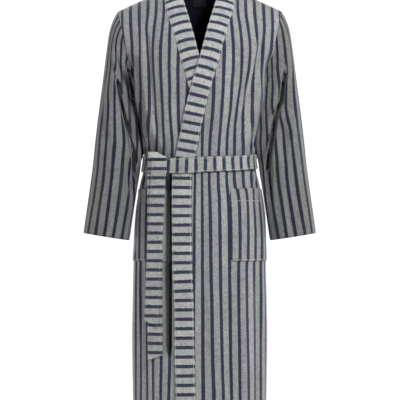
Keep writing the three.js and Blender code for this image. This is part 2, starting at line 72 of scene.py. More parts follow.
FLOOR_Z, FLOOR_SIDE, FLOOR_REAR = -1.42, 9, 2.5
floor_mesh = bpy.data.meshes.new("floor")
floor_mesh.from_pydata([(-FLOOR_SIDE, -FLOOR_SIDE, FLOOR_Z), (FLOOR_SIDE, -FLOOR_SIDE, FLOOR_Z),
                        (FLOOR_SIDE, FLOOR_REAR, FLOOR_Z), (-FLOOR_SIDE, FLOOR_REAR, FLOOR_Z)],
                       [], [(0, 1, 2, 3)])
floor = bpy.data.objects.new("floor", floor_mesh)
bpy.context.collection.objects.link(floor)
floor_paint = bpy.data.materials.new("white_studio_floor")
floor_paint.use_nodes = True
floor_surface = floor_paint.node_tree.nodes["Principled BSDF"]
floor_surface.inputs["Base Color"].default_value = (0.93, 0.93, 0.93, 1)
floor_surface.inputs["Roughness"].default_value = 0.8
floor_surface.inputs["Emission Color"].default_value = (1, 1, 1, 1)
floor_ray = node(floor_paint.node_tree, "ShaderNodeLightPath")
floor_glow = node(floor_paint.node_tree, "ShaderNodeMath",
                  {0: floor_ray.outputs["Is Camera Ray"], 1: 0.78}, operation="MULTIPLY")
floor_paint.node_tree.links.new(floor_glow.outputs[0], floor_surface.inputs["Emission Strength"])
floor_mesh.materials.append(floor_paint)

world = bpy.data.worlds.new("studio")
world.use_nodes = True
sky = world.node_tree.nodes["Background"]
sky.inputs["Color"].default_value = (1, 1, 1, 1)
sky.inputs["Strength"].default_value = 0.27
seen = node(world.node_tree, "ShaderNodeBackground", {"Color": (1, 1, 1, 1), "Strength": 1.05})
ray = node(world.node_tree, "ShaderNodeLightPath")
both = node(world.node_tree, "ShaderNodeMixShader", {
    0: ray.outputs["Is Camera Ray"], 1: sky.outputs[0], 2: seen.outputs[0]})
world.node_tree.links.new(both.outputs[0], world.node_tree.nodes["World Output"].inputs["Surface"])
scene.world = world


def softbox(name, place, target, size, power):
    """A round soft light, turned to face its target."""
    lamp = bpy.data.objects.new(name, bpy.data.lights.new(name, "AREA"))
    lamp.data.shape = "DISK"
    lamp.data.size = size
    lamp.data.energy = power
    lamp.location = place
    aim = np.array(target) - np.array(place)
    tilt = math.acos(-aim[2] / np.linalg.norm(aim))
    lamp.rotation_euler = (tilt, 0, math.atan2(aim[1], aim[0]) - math.pi / 2)
    bpy.context.collection.objects.link(lamp)


softbox("key", (1.2, -2.3, 1.7), (0, 0, -0.45), 0.8, 116)
softbox("fill", (-2.4, -2.6, 0.5), (0, 0, -0.6), 1.0, 12)
softbox("side_left", (2.4, 0.2, -1.0), (0, 0, -1.0), 0.9, 13)
softbox("side_right", (-2.4, 0.2, -1.0), (0, 0, -1.0), 0.9, 13)
softbox("back", (-0.8, 3.2, 1.3), (0, 0, -0.5), 1.6, 80)

# ---- Back panel ----
# The back is one piece of yarn-dyed cotton terry, cut straight so that its stripes run down, and
# sewn to both fronts along the shoulders and sides. It hangs in soft folds from the shoulder
# blades to the belt, and in longer ones below it. Sizes here are in millimetres until a mesh is made.
FRONT, BACK = -1, 1
CHEST_Z, UNDERARM_Z, HEM_Z = -170.0, -312.0, -1219.0
TIP_X, TIP_Y, TIP_Z = 228.0, 5.0, -62.0
UNDERARM_X, ARMHOLE_DEPTH = 187, 62
NECK_X, NECK_Y, NECK_DEPTH, NECK_DIP = 95, 20, 75, 12
WAIST_Z = -485
CLOTH = 2.5
# Two navy stripes lie this far apart, and the first one this far from the middle.
STRIPE_PITCH, FIRST_STRIPE = 25.3, 33.6


def rise(start, end, at):
    """0 at start, 1 at end, and soft at both."""
    t = np.clip((at - start) / (end - start), 0, 1)
    return t * t * (3 - 2 * t)


def mix(a, b, t):
    """a at 0 and b at 1."""
    return a + (b - a) * t


def bump(t):
    """1 at 0, falling softly to 0 at -1 and 1."""
    return np.where(np.abs(t) < 1, (1 + np.cos(np.pi * t)) / 2, 0.0)


def outline(points):
    """A smooth curve through (height, value) pairs, highest first."""
    at = np.array([p[0] for p in points], float)[::-1]
    value = np.array([p[1] for p in points], float)[::-1]
    slope = np.empty_like(value)
    slope[1:-1] = (value[2:] - value[:-2]) / (at[2:] - at[:-2])
    slope[0] = (value[1] - value[0]) / (at[1] - at[0])
    slope[-1] = (value[-1] - value[-2]) / (at[-1] - at[-2])

    def read(where):
        i = np.clip(np.searchsorted(at, where) - 1, 0, len(at) - 2)
        h = at[i + 1] - at[i]
        t = np.clip((where - at[i]) / h, 0, 1)
        ends = value[i] * (1 + 2 * t) * (1 - t) ** 2 + value[i + 1] * t * t * (3 - 2 * t)
        return ends + h * (slope[i] * t * (1 - t) ** 2 + slope[i + 1] * t * t * (t - 1))
    return read


side_half_width = outline([
    (-312, 187), (-391, 170), (-440, 159), (-475, 153), (-520, 159), (-560, 168),
    (-620, 178), (-700, 182), (-860, 186), (-970, 188), (-1219, 184)])
front_depth = outline([
    (-170, 125), (-250, 128), (-312, 125), (-391, 114), (-440, 107), (-490, 103),
    (-540, 106), (-620, 114), (-760, 121), (-900, 125), (-1219, 129)])
back_depth = outline([
    (-170, 112), (-250, 116), (-312, 113), (-391, 103), (-440, 97), (-490, 94),
    (-540, 98), (-620, 108), (-760, 116), (-900, 120), (-1219, 124)])
ARMHOLE_HALF = (TIP_Z - UNDERARM_Z) / 2


# down counts from 0 on the shoulder line, over the yoke to 1 at the chest, and then by this step.
ROW_STEP = 100


def height_at(down):
    return CHEST_Z - (down - 1) * ROW_STEP


def down_at(z):
    return 1 + (CHEST_Z - z) / ROW_STEP


def armhole_at(z):
    """How far out the armhole's seam lies at each height, and how far it opens to front and back."""
    h = np.clip((z - UNDERARM_Z - ARMHOLE_HALF) / ARMHOLE_HALF, -1, 1)
    x = (TIP_X + UNDERARM_X) / 2 + (TIP_X - UNDERARM_X) / 2 * h - 4 * (1 - h * h)
    return x, ARMHOLE_DEPTH * np.sqrt(1 - h * h)


def edge_x(z):
    return np.where(z > UNDERARM_Z, armhole_at(z)[0], side_half_width(z))


def sweep_at(z):
    """How far round the body the form goes, from its middle to its edge."""
    return np.radians(mix(58, 90, rise(-200, UNDERARM_Z, z)))


def across_at(x, z):
    sweep = sweep_at(z)
    return np.arcsin(np.clip(x * np.sin(sweep) / edge_x(z), -1, 1)) / sweep


def ridge(face, x):
    """The shoulder line that the cloth hangs from, and on the back the neck seam between them."""
    t = (np.maximum(np.abs(x), NECK_X) - NECK_X) / (TIP_X - NECK_X)
    y, z, over = mix(NECK_Y, TIP_Y, t), TIP_Z * t, np.ones_like(t)
    if face == BACK:
        reach = np.minimum(np.abs(x) / NECK_X, 1)
        neck = np.abs(x) < NECK_X
        y = np.where(neck, NECK_Y + NECK_DEPTH * np.sqrt(1 - reach ** 2), y)
        z = np.where(neck, -NECK_DIP * (1 - reach ** 2), z)
        over = np.where(neck, reach, over)
    return y, z, over


# Broad folds of the form: across at the top and at the foot, top z, foot z, half width, height.
FRONT_FOLDS = [(0.8, 0.62, -250, -462, 0.07, -6), (0.66, 0.48, -300, -464, 0.06, 5),
               (0.9, 0.82, -520, -1100, 0.06, 5), (0.66, 0.6, -800, -1219, 0.07, -4)]
BACK_FOLDS = [(0.72, 0.55, -240, -462, 0.08, -7), (0.4, 0.3, -300, -462, 0.08, 5),
              (0.1, 0.1, -330, -460, 0.07, -4), (0.86, 0.8, -520, -1100, 0.07, 5),
              (0.55, 0.6, -515, -1219, 0.07, -7), (0.25, 0.3, -515, -1219, 0.07, 6)]


def fold_height(face, across, z):
    total = 0.0
    for top, foot, top_z, foot_z, half, size in FRONT_FOLDS if face == FRONT else BACK_FOLDS:
        t = (z - top_z) / (foot_z - top_z)
        ends = rise(0, 0.25, t) * (1 if foot_z == HEM_Z else rise(1, 0.8, t)) * (t <= 1)
        total = total + size * ends * bump((np.abs(across) - mix(top, foot, t)) / (2 * half))
    return total


def form_point(face, across, down):
    """A place on the body form: across -1 to 1, down 0 on the shoulder and 1 at the chest."""
    across, down = np.broadcast_arrays(np.asarray(across, float), np.asarray(down, float))
    z = height_at(np.maximum(down, 1))
    sweep = sweep_at(z)
    turn = np.pi / 2 * np.clip(1 - down, 0, 1)
    x = edge_x(mix(z, TIP_Z, np.sin(turn))) * np.sin(across * sweep) / np.sin(sweep)
    # Away from the armhole's edge the cloth rounds the underarm more gently than the seam does.
    opens = armhole_at(z)[1] / ARMHOLE_DEPTH
    power = mix(2.0, 1.0, rise(0.8, 1.0, np.abs(across)))
    edge_y = np.where(z > UNDERARM_Z, ARMHOLE_DEPTH * opens ** power, 0)
    depth = front_depth(z) if face == FRONT else back_depth(z)
    round_off = (np.cos(across * sweep) - np.cos(sweep)) / (1 - np.cos(sweep))
    y = face * (edge_y + (depth - edge_y) * round_off + fold_height(face, across, z))
    top_y, top_z, over = ridge(face, x)
    lift = mix(1 - down, np.sin(turn), over)
    yoke = down < 1
    return np.stack([x, np.where(yoke, mix(top_y, y, np.cos(turn)), y),
                     np.where(yoke, mix(z, top_z, lift), z)], -1)


def unit(v):
    """The same directions, one long."""
    return v / np.maximum(np.linalg.norm(v, axis=-1, keepdims=True), 1e-9)


def out_point(face, across, down, out):
    """The same place moved out from the form."""
    e = 0.01
    up = np.maximum(down - e, 0.001)
    along_x = form_point(face, across + e, down) - form_point(face, across - e, down)
    along_z = form_point(face, across, up) - form_point(face, across, up + 2 * e)
    normal = unit(np.cross(along_x, along_z)) * -face
    return form_point(face, across, down) + normal * np.asarray(out, float)[..., None]


def crease(x, z, path, half, height, skew=1.0):
    """A soft ridge, or a trough below 0, along (x, z) points, highest first. skew widens its +X side."""
    line = outline([(p[1], p[0]) for p in path])
    top, foot = path[0][1], path[-1][1]
    slope = (path[-1][0] - path[0][0]) / (foot - top)
    away = (x - line(z)) / math.hypot(1, slope)
    t = (z - top) / (foot - top)
    wide = np.where(away > 0, half * skew, half / skew)
    return height * rise(0, 0.2, t) * rise(1, 0.78, t) * bump(away / wide)


def gathers(u, z, waves, edge, fade):
    """Small ripples that the belt draws up, strongest at its edge and gone after the fade."""
    total = 0.0
    for length, phase, size in waves:
        total = total + size * np.cos(2 * np.pi * (u - phase) / length)
    return total * np.exp(-np.abs(z - edge) / fade)


BELT_TOP, BELT_FOOT = -458.0, -511.0


def under_belt(z, height):
    """Holds whatever stands out of the cloth down to nothing below the belt."""
    near = rise(BELT_TOP + 26, BELT_TOP + 2, z) * rise(BELT_FOOT - 26, BELT_FOOT - 2, z)
    return np.where(height > 0, height * (1 - near), height * (1 - 0.6 * near))


def grid_normals(grid, around=False):
    """The direction square to a grid of places, at each of them."""
    if around:
        wide = np.concatenate([grid[:, -2:-1], grid, grid[:, 1:2]], 1)
        along_u = wide[:, 2:] - wide[:, :-2]
    else:
        along_u = np.gradient(grid, axis=1)
    return unit(np.cross(along_u, np.gradient(grid, axis=0)))


def lengths(grid, axis):
    """Running length along one direction of a grid."""
    step = np.linalg.norm(np.diff(grid, axis=axis), axis=-1)
    first = np.zeros_like(np.take(step, [0], axis))
    return np.cumsum(np.concatenate([first, step], axis), axis)


def rounded(distance, thickness, least=0.35):
    """Half the thickness, thinning to a soft edge."""
    t = np.clip(distance / thickness, 0, 1)
    return thickness / 2 * (least + (1 - least) * np.sqrt(1 - (1 - t) ** 2))


def half_thickness(grid, thickness, columns=True, least=0.35):
    """Half the cloth's thickness at each place of a grid, with soft edges at the ends of its rows
    and, unless it runs around, of its columns."""
    v = lengths(grid, 0)
    half = rounded(np.minimum(v, v[-1:] - v), thickness, least)
    if columns:
        u = lengths(grid, 1)
        half = np.minimum(half, rounded(np.minimum(u, u[:, -1:] - u), thickness, least))
    return half


def shell(name, grid, normals, half, uv, materials, around=False):
    """A closed wall of cloth: its outer face, its inner face in the second material, and its rims.
    A grid that runs around repeats its first column as its last, so that the pattern can go on."""
    rows, cols = grid.shape[:2]
    ring = cols - 1 if around else cols
    r, c = np.meshgrid(np.arange(rows - 1), np.arange(cols - 1), indexing="ij")
    r, c = r.ravel(), c.ravel()

    def corner(row, column, inner):
        return inner * rows * ring + row * ring + column % ring, row * cols + column

    faces, places, slots = [], [], []

    def add(corners, material):
        faces.append(np.stack([k[0] for k in corners], 1))
        places.append(np.stack([k[1] for k in corners], 1))
        slots.append(np.full(len(corners[0][0]), material))

    add([corner(r, c, 0), corner(r + 1, c, 0), corner(r + 1, c + 1, 0), corner(r, c + 1, 0)], 0)
    add([corner(r, c, 1), corner(r, c + 1, 1), corner(r + 1, c + 1, 1), corner(r + 1, c, 1)], 1)
    k = np.arange(cols - 1)
    zero = np.zeros_like(k)
    last = zero + rows - 1
    add([corner(zero, k, 0), corner(zero, k + 1, 0), corner(zero, k + 1, 1), corner(zero, k, 1)], 0)
    add([corner(last, k, 0), corner(last, k, 1), corner(last, k + 1, 1), corner(last, k + 1, 0)], 0)
    if not around:
        k = np.arange(rows - 1)
        zero = np.zeros_like(k)
        last = zero + cols - 1
        add([corner(k, zero, 0), corner(k, zero, 1), corner(k + 1, zero, 1), corner(k + 1, zero, 0)], 0)
        add([corner(k, last, 0), corner(k + 1, last, 0), corner(k + 1, last, 1), corner(k, last, 1)], 0)
    faces, places, slots = np.concatenate(faces), np.concatenate(places), np.concatenate(slots)
    mid = grid[:, :ring]
    push = (normals * half[..., None])[:, :ring]
    verts = np.concatenate([(mid + push).reshape(-1, 3), (mid - push).reshape(-1, 3)]) / 1000
    a, b, d = verts[faces[0, 0]], verts[faces[0, 1]], verts[faces[0, 3]]
    if np.dot(np.cross(b - a, d - a), normals[0, 0]) < 0:
        faces, places = faces[:, ::-1], places[:, ::-1]
    mesh = bpy.data.meshes.new(name)
    mesh.from_pydata(verts.tolist(), [], faces.tolist())
    mesh.polygons.foreach_set("material_index", slots.astype(np.int32))
    mesh.polygons.foreach_set("use_smooth", np.ones(len(faces), bool))
    layer = mesh.uv_layers.new(name="cloth")
    layer.data.foreach_set("uv", (uv.reshape(-1, 2)[places.ravel()] / 1000).astype(np.float32).ravel())
    for material in materials:
        mesh.materials.append(material)
    piece = bpy.data.objects.new(name, mesh)
    bpy.context.collection.objects.link(piece)
    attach(piece, "root")
    return piece


def finish_cloth(made, colour, raised, roughness, shine):
    """Wires a cloth's colour and relief to its surface, and sets how it takes the light."""
    surface = made.node_tree.nodes["Principled BSDF"]
    made.node_tree.links.new(raised.outputs[0], surface.inputs["Normal"])
    made.node_tree.links.new(colour, surface.inputs["Base Color"])
    surface.inputs["Roughness"].default_value = roughness
    surface.inputs["Specular IOR Level"].default_value = shine
    return surface


def terry(name, navy_at, grounds, navies, stitches=(), along=0, thread_shows=0.75):
    """Cotton terry with woven stripes. navy_at is the place of one navy stripe along the pattern, and
    stitches are sewn lines as (axis, place), all in metres on the piece's own cloth coordinates."""
    made = bpy.data.materials.new(name)
    made.use_nodes = True
    tree = made.node_tree

    def math_of(operation, a, b=0.0):
        return node(tree, "ShaderNodeMath", {0: a, 1: b}, operation=operation).outputs[0]

    def remap(value, low, high, to_low=0.0, to_high=1.0):
        return node(tree, "ShaderNodeMapRange", {
            "Value": value, "From Min": low, "From Max": high, "To Min": to_low, "To Max": to_high,
        }, interpolation_type="SMOOTHSTEP").outputs["Result"]

    def blend(factor, a, b, kind="MIX"):
        return node(tree, "ShaderNodeMix", {0: factor, 6: a, 7: b},
                    data_type="RGBA", blend_type=kind).outputs[2]

    where = node(tree, "ShaderNodeTexCoord").outputs["Object"]

    def noise(scale, detail):
        settings = {"Vector": where, "Scale": scale, "Detail": detail}
        return node(tree, "ShaderNodeTexNoise", settings).outputs[0]

    loops, flecks, clouds, broad = noise(620, 1.5), noise(240, 3.0), noise(85, 2.0), noise(14, 2.0)
    cloth = node(tree, "ShaderNodeUVMap", uv_map="cloth").outputs[0]
    places = node(tree, "ShaderNodeSeparateXYZ", {0: cloth}).outputs
    # Yarns wander a little from loop to loop, so a stripe's edge is never ruled.
    wander = math_of("MULTIPLY", math_of("SUBTRACT", flecks, 0.5), 0.0022)
    at = math_of("DIVIDE", math_of("ADD", math_of("SUBTRACT", places[along], navy_at), wander),
                 STRIPE_PITCH / 1000)
    cell = math_of("FLOOR", math_of("ADD", at, 0.5))
    away = math_of("ABSOLUTE", math_of("SUBTRACT", at, cell))
    navy = remap(away, 0.145, 0.225, 1.0, 0.0)
    turn = math_of("FLOORED_MODULO", cell, 2.0)
    between = math_of("FLOORED_MODULO", math_of("FLOOR", at), 3.0)
    stripe = blend(turn, linear(navies[0]), linear(navies[1]))
    ground = blend(remap(between, 0.0, 1.0), linear(grounds[0]), linear(grounds[1]))
    ground = blend(remap(between, 1.0, 2.0), ground, linear(grounds[2]))
    colour = blend(navy, ground, stripe)
    # Two yarns are twisted in each loop, so the colour is flecked and never flat.
    shade = math_of("ADD", remap(flecks, 0.3, 0.7, 0.78, 1.16), remap(broad, 0.35, 0.65, -0.04, 0.04))
    shade = math_of("ADD", shade, remap(clouds, 0.3, 0.7, -0.085, 0.085))
    grey = node(tree, "ShaderNodeCombineColor", {0: shade, 1: shade, 2: shade}).outputs[0]
    colour = blend(1.0, colour, grey, "MULTIPLY")
    height = math_of("ADD", math_of("MULTIPLY", loops, 0.6), math_of("MULTIPLY", flecks, 0.5))
    for axis, place in stitches:
        off = math_of("ABSOLUTE", math_of("SUBTRACT", places[axis], place))
        line = remap(off, 0.0004, 0.0016, 1.0, 0.0)
        run = math_of("FRACT", math_of("DIVIDE", places[1 - axis], 0.0042))
        thread = math_of("MULTIPLY", remap(off, 0.0003, 0.0009, thread_shows, 0.0), remap(run, 0.12, 0.3))
        colour = blend(thread, colour, linear("#b9bab4"))
        height = math_of("SUBTRACT", height, math_of("MULTIPLY", line, 1.6))
    raised = node(tree, "ShaderNodeBump", {"Height": height, "Strength": 0.7, "Distance": 0.0011})
    surface = finish_cloth(made, colour, raised, 0.95, 0.12)
    surface.inputs["Sheen Weight"].default_value = 0.22
    surface.inputs["Sheen Roughness"].default_value = 0.5
    return made


GROUNDS = ("#848785", "#868587", "#8d8e8d")
NAVIES = ("#2d2b41", "#292e40")
# Velour-cut stripes: matt, flecked, with a pale bloom where the pile is seen edge on.
body_cloth = terry("terry_grey_navy_stripe", 0.0083, GROUNDS, NAVIES)

# The loop side that faces the wearer is one near-black navy, matt and a little uneven.
inner_cloth = bpy.data.materials.new("terry_navy_loop_side")
inner_cloth.use_nodes = True
tree = inner_cloth.node_tree
where = node(tree, "ShaderNodeTexCoord").outputs["Object"]
pile = node(tree, "ShaderNodeTexNoise", {"Vector": where, "Scale": 480, "Detail": 2.0}).outputs[0]
shade = node(tree, "ShaderNodeMix", {0: pile, 6: linear("#0c0d12"), 7: linear("#191b25")}, data_type="RGBA")
raised = node(tree, "ShaderNodeBump", {"Height": pile, "Strength": 0.6, "Distance": 0.001})
finish_cloth(inner_cloth, shade.outputs[2], raised, 0.98, 0.05)

# Rows from the shoulder line to the hem, closer together at the hem's rounded edge.
ROWS = np.concatenate([np.linspace(0, 1, 34)[:-1], down_at(np.linspace(CHEST_Z, HEM_Z + 4, 166)),
                       down_at(np.array([HEM_Z + 2.4, HEM_Z + 1.2, HEM_Z]))])


# Past the last stripe that is placed, the cloth runs on by this much for each 1 of across.
PAST_STRIPES = 250


def stripe_place(across, down, levels, grid, share=0.6):
    """How far out on its own cloth each point of a grid lies. levels holds heights, and how far from
    the middle the stripes at 33.6 mm, 58.9 mm and so on hang there. share is how far the folds let
    them hang straight, away from the sides."""
    z = height_at(np.maximum(down, 1))
    turn = np.pi / 2 * np.clip(1 - down, 0, 1)
    sweep = sweep_at(z)
    edge = edge_x(np.where(down < 1, mix(CHEST_Z, TIP_Z, np.sin(turn)), z))
    hangs = np.arcsin(np.clip(grid[..., 0] * np.sin(sweep) / edge, -1, 1)) / sweep
    across = mix(across, hangs, share * rise(0.88, 0.5, np.abs(across)))
    z = grid[..., 2]
    total = np.zeros_like(z)
    known = np.zeros_like(z)
    for i in range(9):
        line = outline([(height, places[i]) for height, places in levels])(z)
        reach = line * np.sin(sweep) / edge
        place = np.where(reach < 1, np.arcsin(np.minimum(reach, 1)) / sweep, 1 + 0.4 * (reach - 1))
        place = np.maximum(place, known + 0.02)
        gain = FIRST_STRIPE if i == 0 else STRIPE_PITCH
        total = total + gain * np.clip((np.abs(across) - known) / (place - known), 0, 1)
        known = place
    total = total + PAST_STRIPES * np.maximum(np.abs(across) - known, 0)
    return total * np.sign(across)


across = np.linspace(-1, 1, 157)[None, :]
down = ROWS[:, None]
flat = form_point(BACK, across, down)
x, z = flat[..., 0], flat[..., 2]
# Paths are (x, z), highest first, with half width, height and skew.
BACK_CREASES = [
    ([(-150, -240), (-118, -350), (-84, -455)], 15, -5.5, 1.0),
    ([(-128, -250), (-96, -360), (-66, -455)], 12, 4.0, 1.3),
    ([(155, -225), (130, -330), (98, -455)], 16, -6.0, 1.0),
    ([(132, -230), (106, -345), (74, -455)], 12, 4.5, 0.8),
    ([(-30, -300), (-24, -380), (-22, -455)], 12, 3.5, 1.0),
    ([(34, -320), (30, -390), (26, -455)], 11, -3.5, 1.0),
    ([(-186, -330), (-158, -390), (-138, -455)], 10, 3.5, 1.0),
    ([(186, -330), (160, -395), (140, -455)], 10, 3.5, 1.0),
    ([(-96, -520), (-110, -760), (-118, -1219)], 20, -7.0, 1.0),
    ([(-52, -520), (-62, -800), (-70, -1219)], 18, 6.0, 1.0),
    ([(6, -520), (2, -800), (-4, -1219)], 17, -5.0, 1.0),
    ([(60, -520), (66, -780), (72, -1219)], 18, 6.0, 1.0),
    ([(100, -520), (114, -760), (124, -1219)], 20, -7.0, 1.0),
    ([(-146, -525), (-160, -700), (-164, -1000)], 13, 4.5, 1.0),
    ([(144, -525), (158, -700), (162, -1000)], 13, 4.5, 1.0),
    ([(-60, -90), (-66, -160), (-90, -240)], 22, 2.5, 1.0),
    ([(64, -90), (70, -160), (96, -240)], 22, 2.5, 1.0),
]
moved = sum(crease(x, z, *one) for one in BACK_CREASES)
u = across * (256 - 62 * (across * 0.9) ** 2)
BACK_WAVES = [(23, 4, 1.6), (37, 11, 1.5), (15, 2, 0.7)]
moved = moved + np.where(z > WAIST_Z, gathers(u, z, BACK_WAVES, BELT_TOP, 42),
                         gathers(u, z, BACK_WAVES, BELT_FOOT, 60))
moved = under_belt(z, moved) * rise(1.0, 0.93, np.abs(across))
grid = out_point(BACK, across, down, moved)
normals = grid_normals(grid)
# The stripes hang straight from the shoulders, close up into the belt and spread again below it.
BACK_LEVELS = [
    (0, (34, 59, 84, 109, 133, 157, 182, 206, 228)),
    (-170, (33, 58, 83, 108, 132, 155, 177, 196, 212)),
    (-312, (33, 57, 81, 105, 128, 149, 168, 182, 192)),
    (-400, (30, 53, 76, 98, 118, 137, 152, 164, 174)),
    (-484, (28, 49, 70, 90, 108, 125, 139, 150, 158)),
    (-600, (31, 54, 77, 100, 121, 141, 157, 169, 178)),
    (-870, (33.6, 59, 84, 108, 130, 150, 167, 181, 190)),
    (-1219, (34, 60, 86, 110, 132, 151, 167, 180, 188)),
]
u_back = stripe_place(*np.broadcast_arrays(across, down), BACK_LEVELS, grid, 0.0)
back = shell("back_panel", grid, normals, half_thickness(grid, CLOTH), np.stack([u_back, -z], -1),
             [body_cloth, inner_cloth])
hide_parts("back")


# ---- Front panels ----
# Two straight-cut fronts of the same striped terry, sewn to the back at the shoulders and sides.
# The wearer's left one laps over the right and stands off it. Drag folds run from the armpits
# to the belt, and beside the hanging belt ends the under front is pushed into a deep hollow.
band_seam_x = outline([
    (0, 95), (-38, 93), (-66, 88), (-108, 77), (-150, 66), (-197, 54), (-244, 40),
    (-337, 15), (-463, -10), (-515, -20), (-757, -20), (-869, -16), (-1037, -13), (-1219, -8)])


def lift_at(across, z):
    """How far the upper front stands off the one below it."""
    return 9 * rise(-50, -180, z) * rise(0.95, 0.55, across)


def seam_place(down):
    """Where the band's seam lies on each row, as (across, x, z)."""
    down = np.asarray(down, float)
    turn = np.pi / 2 * np.clip(1 - down, 0, 1)
    x = np.full_like(down, NECK_X)
    for _ in range(8):
        on_yoke = mix(CHEST_Z, ridge(FRONT, x)[1], np.sin(turn))
        z = np.where(down < 1, on_yoke, height_at(down))
        x = band_seam_x(z)
    sweep = sweep_at(np.minimum(z, CHEST_Z))
    tip = np.where(down < 1, mix(CHEST_Z, TIP_Z, np.sin(turn)), z)
    return np.arcsin(np.clip(x * np.sin(sweep) / edge_x(tip), -1, 1)) / sweep, x, z


# Paths are (x, z) on the wearer's own side, with half width, height and skew.
CREASES = {
    1: [
        ([(163, -100), (140, -205), (112, -300), (86, -400)], 9, 6.5, 0.8),
        ([(176, -120), (152, -215), (124, -310), (98, -410)], 10, -6.0, 1.2),
        ([(198, -290), (186, -370), (171, -420), (150, -462)], 8, 5.5, 0.8),
        ([(186, -270), (170, -350), (152, -420), (138, -462)], 8, -5.5, 1.2),
        ([(186, -120), (176, -200), (150, -330), (118, -455)], 9, 4.0, 0.9),
        ([(120, -60), (112, -150), (84, -290)], 16, -2.5, 1.0),
        ([(60, -300), (48, -380), (40, -455)], 10, 3.0, 1.0),
        ([(20, -330), (14, -400), (8, -455)], 9, -2.5, 1.0),
        ([(30, -520), (34, -760), (42, -1219)], 22, 3.0, 1.0),
        ([(66, -800), (70, -1000), (74, -1219)], 20, -3.5, 1.0),
        ([(112, -760), (116, -960), (122, -1219)], 15, 4.0, 1.0),
        ([(150, -540), (164, -700), (168, -1000)], 10, 3.5, 1.0),
        ([(148, -770), (154, -960), (152, -1219)], 12, -4.5, 1.0),
    ],
    -1: [
        ([(146, -90), (143, -180), (131, -310), (118, -455)], 10, -7.0, 0.8),
        ([(158, -110), (156, -200), (146, -320), (134, -455)], 9, 5.5, 1.2),
        ([(206, -190), (196, -244), (186, -290), (173, -345), (160, -420)], 8, -15.0, 1.0),
        ([(192, -190), (182, -250), (170, -320), (156, -390), (146, -440)], 8, 6.0, 1.0),
        ([(112, -70), (108, -200), (98, -340), (92, -455)], 12, 3.0, 1.0),
        ([(70, -260), (66, -350), (60, -455)], 10, -3.0, 1.0),
        ([(170, -540), (176, -620), (178, -760)], 8, -4.0, 1.0),
        ([(152, -530), (160, -660), (166, -1000)], 9, 4.5, 1.0),
        ([(140, -780), (146, -960), (148, -1219)], 12, -4.5, 1.0),
        ([(112, -1000), (116, -1110), (120, -1219)], 13, 4.0, 1.0),
    ],
}
# The hollow beside the belt ends, from just under the belt to the end of the longer one.
HOLLOW = {"x": 91, "half": 17, "top": -500, "foot": -1040, "depth": 48}
LEVELS = {
    1: [
        (0, (36, 61, 86, 105, 127, 151, 177, 201, 224)),
        (-71, (34, 60, 85.5, 104.5, 127, 151, 177, 201, 223)),
        (-113, (34, 62, 88, 110, 132, 154, 177, 201, 223)),
        (-169, (37, 67, 91, 115, 137, 155.5, 172, 197, 222)),
        (-225, (38, 65.5, 91, 114, 133.5, 148, 168, 192, 212)),
        (-281, (38, 63.5, 86.5, 109.5, 122.5, 143, 167, 187, 201)),
        (-337, (36, 59.5, 83.7, 100.2, 117.6, 142, 164.5, 182, 196)),
        (-393, (30.5, 55.5, 76.2, 94, 117, 141.4, 157.6, 170, 182)),
        (-435, (27, 52.3, 73.5, 93.8, 117.3, 139, 152, 162, 172)),
        (-533, (25, 50, 73, 93, 117.5, 139.5, 154.5, 164, 174)),
        (-589, (27, 53, 77, 102, 126, 143, 156, 167, 177)),
        (-673, (29, 54.5, 80, 105, 128, 147, 162, 175, 184)),
        (-785, (30, 56, 80.5, 105, 127, 147, 163.5, 177.5, 188)),
        (-870, (32.7, 57, 82, 105.5, 127, 148, 165, 179.5, 191)),
        (-1037, (35.3, 60.8, 84, 107.8, 131, 149.5, 165.5, 179.5, 191)),
        (-1121, (38.4, 63.6, 86, 108.4, 132, 149.5, 165.5, 179.5, 190)),
        (-1219, (40, 65, 87, 109, 132, 150, 165, 178.5, 189)),
    ],
    -1: [
        (0, (36, 58, 80, 99, 121, 144, 168, 193, 218)),
        (-71, (34, 58, 80, 98.5, 120, 142.5, 167, 191.5, 215.8)),
        (-113, (34, 58, 82, 102, 124.5, 147, 165, 189.8, 214)),
        (-169, (34, 57.5, 83, 107, 129, 145, 163, 186.2, 208)),
        (-225, (34, 59.6, 83.5, 107, 127.5, 141.2, 163, 188.2, 206)),
        (-281, (33.4, 59.4, 82, 104.5, 124, 138.5, 163, 178, 194)),
        (-337, (36.5, 58, 82.3, 101, 121.6, 137.8, 163, 176, 188)),
        (-393, (33, 57, 78, 99.8, 117.4, 140.6, 158, 170, 180)),
        (-435, (29, 52, 75.2, 98.3, 118.2, 140.9, 150, 159, 168)),
        (-533, (30, 54, 79, 105, 121, 140, 154.5, 166, 176)),
        (-589, (32, 56, 80.5, 107, 125, 143, 158, 169, 178)),
        (-785, (32, 56, 80.5, 108, 126, 146, 162, 175, 187)),
        (-870, (32, 56, 80.5, 108, 126, 146, 162, 176, 189)),
        (-1037, (33, 58, 82, 106, 128, 146, 162, 176, 189)),
        (-1121, (34, 60, 84.5, 106.8, 127, 145, 162, 176, 189)),
        (-1219, (35, 61, 86, 107, 127, 145, 163, 177, 190)),
    ],
}
FRONT_WAVES = {1: [(22, 3, 2.1), (34, 9, 1.9), (13, 5, 1.0)], -1: [(20, 6, 2.2), (31, 2, 1.8), (12, 1, 1.1)]}


